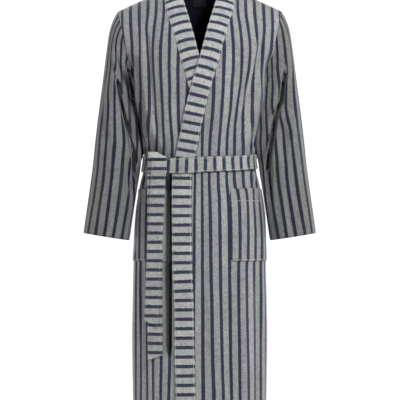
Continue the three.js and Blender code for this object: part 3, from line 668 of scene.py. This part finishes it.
def front_relief(side, across, x, z):
    """How far the cloth of one front stands out from its form, on the wearer's own side."""
    moved = sum(crease(x, z, *one) for one in CREASES[side])
    sides = 0.45 + 0.9 * rise(0.45, 0.8, across)
    u = across * (291 - 67 * across ** 2)
    moved = moved + sides * np.where(z > WAIST_Z, gathers(u, z, FRONT_WAVES[side], BELT_TOP, 38),
                                     gathers(u + 3, z, FRONT_WAVES[side], BELT_FOOT, 55))
    moved = under_belt(z, moved) * rise(1.0, 0.95, across)
    if side < 0:
        deep = rise(HOLLOW["top"], HOLLOW["top"] - 45, z) * rise(HOLLOW["foot"], HOLLOW["foot"] + 60, z)
        t = np.clip(1 - np.abs(x - HOLLOW["x"]) / HOLLOW["half"], 0, 1)
        moved = moved - HOLLOW["depth"] * deep * rise(0, 0.7, t)
    return moved


def armpit(across, z):
    """How far the front of the armhole sinks, so that body and sleeve close on a deep crease."""
    return 17 * rise(-165, -235, z) * rise(UNDERARM_Z, -288, z) * rise(0.74, 1.0, across)


# Where the cloth of each front is nipped back into the armpit, as (x, z) path, half width, depth.
NIPS = {1: ([(212, -200), (203, -244), (191, -300), (181, -349), (172, -400), (164, -446)], 8.0, 24.0),
        -1: ([(205, -180), (197, -235), (186, -290), (176, -340), (167, -391), (158, -440)], 7.0, 14.0)}


def nip(x, z, path, half, depth):
    """A narrow fold with steep sides, pushed straight back; its ends run out softly."""
    line = outline([(p[1], p[0]) for p in path])
    t = (z - path[0][1]) / (path[-1][1] - path[0][1])
    return depth * rise(0, 0.25, t) * rise(1, 0.85, t) * rise(0, 0.55, 1 - np.abs(x - line(z)) / half)


def front_at(side, across, down):
    """The middle of the cloth of one front, with the wearer's right side mirrored."""
    flat = form_point(FRONT, across, down)
    moved = front_relief(side, across, flat[..., 0], flat[..., 2]) - armpit(across, flat[..., 2])
    if side > 0:
        moved = moved + lift_at(across, flat[..., 2])
    grid = out_point(FRONT, across, down, moved)
    grid[..., 1] += nip(flat[..., 0], flat[..., 2], *NIPS[side]) * rise(1.0, 0.96, across)
    return grid * np.array([side, 1, 1])


def outward(grid, side):
    """Normals of a grid whose columns run away from the middle of the front."""
    return -side * grid_normals(grid)


for side, word in ((1, "left"), (-1, "right")):
    start = seam_place(ROWS)[0][:, None]
    t = np.linspace(0, 1, 118)[None, :]
    across = mix(start, 1.0, t)
    down = np.broadcast_to(ROWS[:, None], across.shape)
    grid = front_at(side, across, down)
    hung = 0.6
    if side < 0:
        # In the hollow beside the band the stripes hang quite straight.
        x, z = -grid[..., 0], grid[..., 2]
        hung = 0.6 + 0.4 * rise(140, 118, x) * rise(-470, -510, z) * rise(-1100, -1040, z)
    u = stripe_place(across, down, LEVELS[side], grid * np.array([side, 1, 1]), hung)
    piece = shell("front_panel_" + word, grid, outward(grid, side), half_thickness(grid, CLOTH),
                  np.stack([u, -grid[..., 2]], -1), [body_cloth, inner_cloth])
    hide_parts("front_" + word)


# ---- Front bands ----
# One straight strip, folded double and sewn on with its stripes crosswise, runs from each hem up
# the front edge and round the back neck, where its two halves are joined at the centre.
BAND_WIDTH, BAND_CLOTH = 53.0, 5.0
DOUBLE_NAVIES = ("#343147", "#2d3544")
# Crosswise stripes on a thicker, paler double cloth, with the seam's stitching pressed in beside it.
band_cloth = terry("terry_crosswise_double", 0.0, ("#9c9f9d", "#9a9b9c", "#a4a5a4"), DOUBLE_NAVIES,
                   stitches=((0, 0.0035), (0, 0.0500)), along=1)


def band_rows(side, down, t):
    """Rows across the band: it lies flat on the front, and stands up round the neck."""
    place, here_x, here_z = seam_place(down)
    here_x, here_z = here_x[:, None], here_z[:, None]
    _, above_x, above_z = seam_place(np.maximum(down - 0.05, 0))
    _, below_x, below_z = seam_place(down + 0.05)
    run = unit(np.stack([above_x - below_x, above_z - below_z], -1))[:, None, :]
    x = here_x - BAND_WIDTH * t * run[..., 1]
    z = np.minimum(here_z + BAND_WIDTH * t * run[..., 0], 0)
    sink = np.clip((z - CHEST_Z) / (ridge(FRONT, x)[1] - CHEST_Z), 0, 1)
    on_form = np.where(z < CHEST_Z, down_at(z), 1 - np.arcsin(sink) / (np.pi / 2))
    across = across_at(x, np.minimum(z, CHEST_Z))
    lift = lift_at(across, z) if side > 0 else np.zeros_like(z)
    soft = 1.3 * np.sin(z / 41 + 1.5) * bump((t - 0.9) / 0.8) * rise(-560, -700, z)
    flat = out_point(FRONT, across, on_form, lift + soft)
    seam_lift = lift_at(place, here_z[:, 0]) if side > 0 else np.zeros_like(place)
    foot = out_point(FRONT, place, down, seam_lift)[:, None, :]
    standing = foot + t[..., None] * np.array([-38, -9, 34])
    return mix(flat, standing, rise(-75, 0, here_z)[..., None])


# Columns across the band, closer together at its two rounded edges.
edges = np.array([0, 1.0, 2.4, 4.5, 7])
BAND_T = np.concatenate([edges, np.linspace(11, 42, 9), BAND_WIDTH - edges[::-1]])[None, :] / BAND_WIDTH
# The stripes are counted from the one that crosses the middle of the band at this height.
NECK_ROWS, MID_COLUMN, STRIPE_Z = 43, 8, -555.0
for side, word in ((1, "left"), (-1, "right")):
    turn = np.linspace(np.pi / 2, 0, NECK_ROWS + 1)[:-1][:, None]
    seam = np.stack([NECK_X * np.cos(turn), NECK_Y + NECK_DEPTH * np.sin(turn),
                     -NECK_DIP * np.sin(turn) ** 2], -1)
    free = np.stack([57 * np.cos(turn), 11 + 66 * np.sin(turn), 34 + 8 * np.sin(turn)], -1)
    neck = mix(seam, free, BAND_T[..., None])
    grid = np.concatenate([neck, band_rows(side, ROWS, BAND_T)]) * np.array([side, 1, 1])
    normals = side * grid_normals(grid)
    half = half_thickness(grid, BAND_CLOTH, least=0.2)
    half = half * (1 + 0.12 * bump((BAND_T - 0.5) / 0.6))
    middle = grid[:, MID_COLUMN]
    length = lengths(middle[:, None], 0)[:, 0]
    mark = np.interp(-STRIPE_Z, -middle[NECK_ROWS:, 2], length[NECK_ROWS:])
    # Higher up the strip rounds over the edge of the neck, and its stripes bow with it.
    bowed = rise(-330, -150, middle[:, 2]) * rise(40, -20, middle[:, 1])
    bow = -3.2 * bowed[:, None] * (1 - (2 * BAND_T - 1) ** 2)
    v = ((mark - length) / 1.02)[:, None] + bow
    uv = np.stack([np.broadcast_to(BAND_T * BAND_WIDTH, half.shape), v], -1)
    piece = shell("band_strip_" + word, grid, normals, half, uv, [band_cloth, band_cloth])
    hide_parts("band_" + word)


# ---- Sleeves ----
# Each sleeve is one piece folded along the top of the arm, with its seam under the arm, set into
# the armhole. It hangs a little forward. The spare cloth under the armpit laps over the body.
# Its middle line and its size at 12 stations from the armhole to the cuff.
K = np.arange(12.0)
SLEEVE = {
    "over_x": (228, 240, 251, 259, 267, 276, 285, 292, 297, 304, 313, 323),
    "over_z": (-62, -84, -118, -170, -235, -305, -375, -438, -490, -545, -610, -681),
    "under_x": (187, 195, 194, 188, 180, 173, 167, 165, 168, 176, 186, 197),
    "under_z": (-312, -317, -336, -358, -384, -413, -443, -474, -508, -558, -625, -701),
    "depth": (62, 65, 68, 70, 70, 69, 68, 66, 64, 62, 60, 57),
    "y": (0, 0, -1, -2, -3, -4, -6, -8, -11, -14, -18, -22),
}
# Long folds down the arm: angle at the top and foot, station at the top and foot, half width, height.
SLEEVE_FOLDS = [(115, 84, 1, 8, 22, -9), (145, 110, 2, 9, 18, 8), (60, 55, 1, 10, 20, 5),
                (-110, -85, 1, 7, 24, -10), (-60, -60, 2, 10, 22, 5)]
# Finer creases on the front of the arm, as (x, z) paths on the wearer's own side.
ARM_CREASES = {
    1: [
        ([(252, -170), (262, -300), (268, -420)], 9, 4.0, 1.0),
        ([(240, -180), (244, -290), (236, -400), (228, -500)], 8, -5.0, 1.0),
        ([(222, -210), (218, -300), (206, -380), (190, -450)], 8, 6.0, 0.9),
        ([(262, -330), (250, -420), (238, -520)], 9, 4.5, 1.0),
        ([(216, -430), (214, -520), (222, -620)], 10, -4.0, 1.0),
        ([(262, -480), (272, -560), (284, -660)], 11, 3.5, 1.0),
        ([(236, -540), (244, -610), (254, -690)], 10, -3.5, 1.0),
        ([(200, -520), (208, -600), (216, -690)], 8, 3.0, 1.0),
        ([(232, -215), (222, -300), (206, -375), (194, -450), (194, -540), (204, -650)], 17, -10.0, 0.8),
    ],
    -1: [
        ([(228, -190), (214, -290), (205, -350), (194, -450), (188, -600)], 17, -24.0, 0.75),
        ([(248, -140), (236, -210), (212, -330), (196, -420)], 8, 6.0, 0.9),
        ([(236, -160), (224, -230), (204, -330), (186, -430)], 8, -6.0, 1.1),
        ([(262, -230), (254, -330), (240, -440), (232, -520)], 9, 4.5, 1.0),
        ([(272, -280), (266, -380), (256, -480)], 9, -4.0, 1.0),
        ([(204, -330), (194, -400), (182, -460), (180, -510)], 7, 5.0, 1.0),
        ([(210, -470), (214, -560), (222, -650)], 10, -4.0, 1.0),
        ([(262, -500), (268, -580), (278, -670)], 11, 3.5, 1.0),
        ([(236, -520), (240, -600), (250, -690)], 9, 3.5, 1.0),
    ],
}
# The deep tucks on the front of each sleeve, beside the armpit.
ARM_NIPS = {
    1: [([(239, -205), (236, -241), (231, -275), (227, -309), (219, -333), (211, -357), (203, -403),
          (195, -449), (190, -520)], 9.5, 52.0)],
    -1: [([(204, -190), (199, -228), (191, -260), (185, -290), (180, -320), (174, -350), (168, -380),
           (161, -419), (158, -440), (157, -500)], 8.5, 46.0),
         ([(237, -215), (222, -300), (205, -375), (193, -425), (186, -460), (184, -540)], 8.0, 24.0)],
}
# How far out the sleeve's stripes hang at each height, the first nearest to the fold.
FIRST_ARM_STRIPE = 40.0
ARM_LEVELS = {
    1: [
        (-71, (230, 215, 200, 190, 182, 176)), (-113, (243.6, 227.6, 209, 195, 185, 178)),
        (-169, (252.8, 235, 214, 198, 186, 179)), (-225, (257.6, 239, 216, 202, 188, 180)),
        (-281, (258.8, 238, 221, 207, 190, 180)), (-337, (263.2, 238, 221, 206, 188, 177)),
        (-393, (270.8, 249.5, 231, 209, 190, 176)), (-435, (276.4, 254.2, 235, 212, 191, 174)),
        (-533, (289.2, 266, 241.4, 218.4, 194, 178.6)), (-589, (298.2, 273.8, 249.5, 226.5, 201.6, 183.7)),
        (-673, (310, 289, 262.6, 238, 215.9, 194.9)), (-701, (313, 293, 267, 242, 220, 199)),
    ],
    -1: [
        (-71, (230, 217, 203, 192, 184, 178)), (-113, (245.6, 237, 228, 212, 192, 182)),
        (-169, (252, 245, 237, 217.8, 200, 184)), (-225, (256, 247, 235.5, 219, 204, 188)),
        (-281, (263, 254, 235, 218, 203, 186)), (-337, (268, 252, 236, 218, 199, 183)),
        (-393, (273, 255, 236, 213, 196, 180)), (-435, (276, 258.7, 236.3, 210.8, 193, 177)),
        (-533, (284, 266, 244, 218.4, 193, 179)), (-589, (293, 274, 250.3, 224.6, 200, 183.4)),
        (-673, (308, 286, 261, 237, 213, 196.3)), (-701, (312, 291, 266, 242, 218, 199)),
    ],
}
over_x, over_z, under_x, under_z = (
    np.array(SLEEVE[name], float) for name in ("over_x", "over_z", "under_x", "under_z"))
over_line = outline(list(zip(over_z, over_x)))
level_width = over_x - under_x - np.gradient(over_x, over_z) * (over_z - under_z)
width_line = outline(list(zip(over_z, level_width)))
# Past the last stripe that is placed, the cloth goes round the arm at this radius.
ARM_RADIUS = 62


def arm_stripes(side, turn, x, z):
    """How far round the sleeve each point lies from the fold along the top of the arm. The stripes
    run on straight into the armhole's seam, and only close to the underarm do they go by the turn."""
    sideways = np.arccos(np.clip(1 - 2 * (over_line(z) - x) / width_line(z), -1, 1))
    here = mix(np.abs(turn), sideways, rise(0.3, 0.9, np.abs(turn)) * rise(3.0, 2.3, np.abs(turn)))
    known, total = np.zeros_like(z), np.zeros_like(z)
    for i in range(6):
        hangs = outline([(height, places[i]) for height, places in ARM_LEVELS[side]])(z)
        place = np.arccos(np.clip(1 - 2 * (over_line(z) - hangs) / width_line(z), -1, 1))
        closest, widest, gain = (0.5, 0.75, FIRST_ARM_STRIPE) if i == 0 else (0.28, 0.62, STRIPE_PITCH)
        place = np.clip(place, known + closest, known + widest)
        total = total + gain * np.clip((here - known) / (place - known), 0, 1)
        known = place
    return total + ARM_RADIUS * np.maximum(here - known, 0)


# The sleeves take the same cloth painted darker: partly the pile lying the other way, partly painted shade
# for the shade the sleeves hang in beside the body.
shaded_sleeve_cloth = terry("terry_grey_navy_sleeve_painted_shade", FIRST_ARM_STRIPE / 1000,
                     ("#6c6f6d", "#6e6d6f", "#737474"), ("#211f31", "#1d222e"))
# The armhole's seam, all the way round, read off by its turn from the shoulder.
edge_down = np.concatenate([np.linspace(0, 1, 50), down_at(np.linspace(CHEST_Z, UNDERARM_Z, 50)[1:])])
front_edge = out_point(FRONT, 1.0, edge_down, -armpit(1.0, form_point(FRONT, 1.0, edge_down)[:, 2]))
back_edge = form_point(BACK, 1.0, edge_down)
hole = np.concatenate([front_edge, back_edge[::-1]])
mid_z = (TIP_Z + UNDERARM_Z) / 2
hole_turn = np.unwrap(np.arctan2(-hole[:, 1] / ARMHOLE_DEPTH, (hole[:, 2] - mid_z) / ARMHOLE_HALF))
TURNS = np.linspace(hole_turn[0], hole_turn[0] + 2 * np.pi, 193)
order = np.argsort(hole_turn)
edge_ring = np.stack([np.interp(TURNS, hole_turn[order], hole[order, i]) for i in range(3)], -1)
edge_ring[-1] = edge_ring[0]


def sleeve_grid(side):
    """The middle of one sleeve's cloth, laid on the wearer's left, the same without its creases, and
    how deep its tucks go. Rows run down the arm and columns round it."""
    k = np.concatenate([np.linspace(0, 3, 40)[:-1], np.linspace(3, 11, 84)])[:, None]
    at = {name: outline(list(zip(-K, values)))(-k) for name, values in SLEEVE.items()}
    turn = TURNS[None, :]

    def ring(where, angle):
        share = (1 + np.cos(angle)) / 2
        return np.stack([mix(where["under_x"], where["over_x"], share),
                         where["y"] - where["depth"] * np.sin(angle),
                         mix(where["under_z"], where["over_z"], share)], -1)

    first = {name: np.full((1, 1), float(values[0])) for name, values in SLEEVE.items()}
    grid = ring(at, turn) + (edge_ring - ring(first, turn)) * rise(4, 0, k)[..., None]
    centre = (ring(at, np.zeros((1, 1))) + ring(at, np.full((1, 1), np.pi))) / 2
    out = unit(grid - centre)
    degrees = (np.degrees(turn) + 180) % 360 - 180
    inner = (degrees - 132 + 180) % 360 - 180
    # Spare cloth under the armpit reaches in over the body.
    reach = (24 * bump(inner / 60) + 12 * bump((degrees + 118) / 42)) * rise(1, 2.5, k) * rise(7.7, 6.2, k)
    moved = 0.0
    for top, foot, start, end, wide, size in SLEEVE_FOLDS:
        t = (k - start) / (end - start)
        ends = rise(0, 0.3, t) * rise(1, 0.7, t)
        moved = moved + size * ends * bump((degrees - mix(top, foot, t)) / (2 * wide))
    facing = rise(0.1, 0.5, np.sin(turn))
    relief = sum(crease(grid[..., 0], grid[..., 2], *one) for one in ARM_CREASES[side]) * facing
    behind = rise(0.1, 0.5, -np.sin(turn))
    relief = relief + behind * sum(
        crease(grid[..., 0] + 6, grid[..., 2] - 20, *one) for one in ARM_CREASES[-side])
    moved = moved + relief * rise(0.2, 1.5, k)
    base = grid.copy()
    grid[..., 0] -= reach
    grid = grid + out * moved[..., None]
    tucked = sum(nip(grid[..., 0], grid[..., 2], *one) for one in ARM_NIPS[side]) * facing * rise(0.2, 1.2, k)
    # No tuck goes through to the cloth behind it.
    tucked = np.minimum(tucked, 1.2 * at["depth"] * np.maximum(np.sin(turn), 0))
    # The inner half of the sleeve's front falls back towards the body.
    fallen = bump(((degrees - 136 + 180) % 360 - 180) / 50) * rise(1.5, 3.5, k) * rise(11, 9, k)
    grid[..., 1] += tucked + 19 * fallen
    grid[0] = edge_ring
    grid[:, -1] = grid[:, 0]
    return grid, base, tucked


for side, word in ((1, "left"), (-1, "right")):
    grid, base, tucked = sleeve_grid(side)
    around = np.broadcast_to((TURNS + np.pi) % (2 * np.pi) - np.pi, base.shape[:2])
    # On the walls of a tuck the stripes run along it, as cloth taken in by a fold does.
    u = arm_stripes(side, around, mix(base[..., 0], grid[..., 0], 0.8), base[..., 2]) + tucked
    grid = grid * np.array([side, 1, 1])
    normals = side * grid_normals(grid, around=True)
    half = half_thickness(grid, CLOTH, columns=False)
    v = lengths(grid, 0)
    uv = np.stack([u, v - v[-1:]], -1)
    piece = shell("sleeve_tube_" + word, grid, normals, half, uv, [shaded_sleeve_cloth, inner_cloth], around=True)
    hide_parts("sleeve_" + word)


# ---- Patch pockets ----
# A patch of the same cloth on each front, with its stripes running with the panel's. Its top is
# turned in and sewn down, and its other edges are stitched flat to the panel.
POCKET = {"inner": 80, "top": -559, "bottom": -758, "corner": 14}
# The same stripes, with the sewn hem across the top and a line of stitches above the bottom edge.
pocket_cloth = terry("terry_grey_navy_pocket", 0.0083, GROUNDS, NAVIES, stitches=((1, 0.593), (1, 0.7535)))
for side, word in ((1, "left"), (-1, "right")):
    z = np.concatenate([POCKET["top"] - np.array([0, 1, 2.5]), np.linspace(-564, -738, 34),
                        POCKET["bottom"] + np.array([16, 12, 8.5, 5.5, 3, 1.2, 0])])[:, None]
    above = np.minimum(z - POCKET["bottom"], POCKET["corner"])
    cut = POCKET["corner"] - np.sqrt(POCKET["corner"] ** 2 - (POCKET["corner"] - above) ** 2)
    start = across_at(POCKET["inner"] + cut, z)
    t = np.concatenate([[0, 0.01, 0.025], np.linspace(0.05, 0.95, 34), [0.975, 0.99, 1]])[None, :]
    across = mix(start, 0.965, t)
    down = down_at(np.broadcast_to(z, across.shape))
    # The top edge gapes a little, and the patch bulges softly where hands have been.
    puff = 3.2 * rise(-590, POCKET["top"], z) * bump((t - 0.5) / 0.55)
    puff = puff + 1.2 * bump((t - 0.5) / 0.6) * bump((z + 670) / 110)
    flat = front_at(side, across, down)
    normals = outward(flat, side)
    grid = flat + normals * (CLOTH + 0.5 + puff)[..., None]
    # The patches are cut a little out of step with the stripes they lie on.
    u = stripe_place(across, down, LEVELS[side], grid * np.array([side, 1, 1])) - 3.5
    piece = shell("patch_pocket_" + word, grid, normals, half_thickness(grid, CLOTH, least=0.3),
                  np.stack([u, np.broadcast_to(-z, u.shape)], -1), [pocket_cloth, pocket_cloth])
    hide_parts("pocket_" + word)


# ---- Belt loop round the waist ----
# The belt is a strip of terry folded double, its stripes crosswise, pressed flat and stitched
# near its edges. It goes once round the waist, gathers the cloth, and is tied over the right hip.
BELT_WIDTH, BELT_CLOTH, BELT_EASE = 44.0, 4.0, 1.5
BELT_GROUNDS = ("#939591", "#919091", "#9a9c99")
# The same double cloth as the band's, a little deeper, with a line of stitches near each edge.
belt_cloth = terry("terry_belt_crosswise", -0.0100, BELT_GROUNDS, DOUBLE_NAVIES,
                   stitches=((1, 0.0035), (1, 0.0405)))


def belt_out(face, place):
    """How far the middle of the belt's cloth lies out from the form."""
    lift = 10.25 * rise(-0.65, -0.37, place) * rise(0.97, 0.6, place)
    return (CLOTH + BELT_CLOTH) / 2 + BELT_EASE + (lift if face == FRONT else 0)


def belt_point(turn, up, out):
    """A place on the belt: its turn round the waist, its height on the strip, and how far out it is."""
    across = np.abs((turn + np.pi) % (2 * np.pi) - np.pi) / (np.pi / 2)
    side = np.where(np.sin(turn) < 0, -1.0, 1.0)
    z = -484 - 10 * np.cos(turn + 0.6) + up
    ahead, behind = across * side, (2 - across) * side
    in_front = out_point(FRONT, ahead, down_at(z), belt_out(FRONT, ahead) + out)
    at_back = out_point(BACK, behind, down_at(z), belt_out(BACK, behind) + out)
    return np.where((np.cos(turn) > 0)[..., None], in_front, at_back)


turn = np.linspace(0, 2 * np.pi, 241)[None, :]
up = BELT_WIDTH * np.concatenate([[0.5, 0.48, 0.45, 0.41], np.linspace(0.35, -0.35, 9),
                                  [-0.41, -0.45, -0.48, -0.5]])[:, None]
turn, up = np.broadcast_arrays(turn, up)
# A tied belt is never ruled: its edges dip and its face ripples where it is pulled.
sway = 0.9 * np.sin(3 * turn + 0.7) + 0.6 * np.sin(7 * turn)
ripple = 0.5 * np.sin(19 * turn + up / 9) + 0.35 * np.sin(33 * turn)
grid = belt_point(turn, up + sway, ripple * 0.8)
grid[:, -1] = grid[:, 0]
MID_ROW = 8
u = lengths(grid[MID_ROW:MID_ROW + 1], 1)[0]
u = np.where(u > u[-1] / 2, u - u[-1], u) / 1.02
# Beyond the knot the loop is drawn together in small upright pleats.
u = u - 62 * rise(-120, -178, u)
uv = np.stack([np.broadcast_to(u, turn.shape), BELT_WIDTH / 2 - up], -1)
half = half_thickness(grid, BELT_CLOTH, columns=False, least=0.25)
piece = shell("belt_loop", grid, -grid_normals(grid, around=True), half, uv, [belt_cloth, belt_cloth],
              around=True)
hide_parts("belt_waist")


# ---- Belt ends ----
# The two loose ends of the same belt hang side by side from the knot, over the right pocket, and
# each is cut a little aslant. The rear one is longer, and shows as a thin strip beside the other.
TAIL_TURN, TAIL_X = math.radians(18), -124
tail_y = outline([(-480, -95), (-560, -98), (-700, -102), (-760, -104), (-1035, -104)])
# For each end: its top, its left edge, the heights of its cut corners, and how far ahead it hangs.
TAILS = {
    "front": (-480, outline([(-480, -133), (-560, -137), (-700, -144), (-840, -150), (-940, -154)]),
              (-920, -940), 5.2),
    "rear": (-517, outline([(-517, -145), (-940, -144), (-1035, -143)]), (-1031, -1016), 0.0),
}
# The same strip as the loop, hanging, so that its stripes run level.
TAIL_STRIPE = -0.5533
tail_cloth = terry("terry_belt_end", TAIL_STRIPE, BELT_GROUNDS, DOUBLE_NAVIES,
                   stitches=((0, 0.0035), (0, 0.0405)), along=1, thread_shows=0.25)
for word, (top, left, ends, ahead) in TAILS.items():
    c = np.concatenate([[0, 0.02, 0.05, 0.09], np.linspace(0.15, 0.85, 9), [0.91, 0.95, 0.98, 1]])[None, :]
    t = np.concatenate([np.linspace(0, 0.985, 92), [0.99, 0.994, 0.997, 1]])[:, None]
    z = mix(top, mix(ends[0], ends[1], c), t)
    x = left(z) + BELT_WIDTH * c * math.cos(TAIL_TURN)
    # Each end curls a little along its edges.
    curl = 1.1 * np.sin(z / 47 + ahead) * bump((c - 1) / 0.7) + 0.8 * np.sin(z / 71) * bump(c / 0.6)
    y = tail_y(z) - ahead - (x - TAIL_X) * math.tan(TAIL_TURN) - np.abs(curl) * (1 if ahead else -0.3)
    grid = np.stack([x, y, z], -1)
    uv = np.stack([np.broadcast_to(c * BELT_WIDTH, x.shape), np.broadcast_to(z, x.shape)], -1)
    piece = shell("belt_end_" + word, grid, -grid_normals(grid),
                  half_thickness(grid, BELT_CLOTH, least=0.25), uv, [tail_cloth, tail_cloth])
    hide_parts("belt_tail_" + word)


# ---- Knot ----
# The front end is passed up behind the loop and folded down over it, so that a slanting fold of
# plain ground stands over the loop and the end hangs out from under it.
LEVEL_Y = [(-455, -98), (-460, -105), (-474, -109), (-477, -108), (-478, -100), (-500, -100), (-514, -98)]
c = np.concatenate([[0, 0.03, 0.07], np.linspace(0.13, 0.87, 17), [0.93, 0.97, 1]])[None, :]
level = np.concatenate([np.linspace(-455, -479, 18), np.linspace(-481, -514, 12)])[:, None]
level, c = np.broadcast_arrays(level, c)
x = mix(-141, -91, c)
z = level - 14 * rise(0.3, 1, c) * rise(-478, -460, level)
place = across_at(x, z)
inner = out_point(FRONT, place, down_at(z), belt_out(FRONT, place) + BELT_CLOTH / 2 + 1)
inner[..., 2] = z
proud = outline([(z0, y0) for z0, y0 in LEVEL_Y])(level)
y = proud + 5 * (2 * c - 1) ** 4 - (x + 112) * math.sin(TAIL_TURN)
y = y - 1.8 * bump((level + 466 + 9 * c) / 9) + 1.4 * bump((c - 0.55 - (level + 466) / 60) / 0.18)
outer = np.stack([x, np.minimum(y, inner[..., 1] - 4), z], -1)
middle = (outer + inner) / 2
thick = np.linalg.norm(outer - inner, axis=-1) / 2
# The same belt cloth, with a paler ground on the fold.
knot_cloth = terry("terry_knot", TAIL_STRIPE, ("#a6a8a4", "#a3a2a3", "#acadaa"), DOUBLE_NAVIES, along=1)
piece = shell("belt_knot_fold", middle, unit(outer - inner), thick, np.stack([x, z], -1),
              [knot_cloth, knot_cloth])
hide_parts("belt_knot")


# ---- Neck label ----
# A small woven label, plain and near black, sewn by its top edge inside the back neck.
# Damask woven close and flat: black, with a faint crosswise rib.
LABEL_CLOTH, LABEL_LIFT = 1.0, 2.4
label_weave = bpy.data.materials.new("label_damask_black")
label_weave.use_nodes = True
tree = label_weave.node_tree
where = node(tree, "ShaderNodeTexCoord").outputs["Object"]
weave = node(tree, "ShaderNodeTexWave", {"Vector": where, "Scale": 900.0, "Distortion": 0.4},
             bands_direction="Z")
shade = node(tree, "ShaderNodeMix", {0: weave.outputs["Color"], 6: linear("#15151a"), 7: linear("#26262d")},
             data_type="RGBA")
raised = node(tree, "ShaderNodeBump", {"Height": weave.outputs["Fac"], "Strength": 0.3, "Distance": 0.0003})
finish_cloth(label_weave, shade.outputs[2], raised, 0.85, 0.1)
z = np.linspace(-16, -42, 12)[:, None]
x = np.linspace(-20, 20, 17)[None, :]
x, z = np.broadcast_arrays(x, z)
sweep = sweep_at(CHEST_Z)
place = np.arcsin(x * np.sin(sweep) / TIP_X) / sweep
# Each row's place below the shoulder line is found by halving.
low, high = np.zeros_like(z), np.ones_like(z)
for _ in range(30):
    guess = (low + high) / 2
    higher = form_point(BACK, place, guess)[..., 2] > z
    low, high = np.where(higher, guess, low), np.where(higher, high, guess)
grid = out_point(BACK, place, low, np.full_like(z, -LABEL_LIFT))
piece = shell("woven_label", grid, -grid_normals(grid), half_thickness(grid, LABEL_CLOTH),
              np.stack([x, z], -1), [label_weave, label_weave])
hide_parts("neck_label")
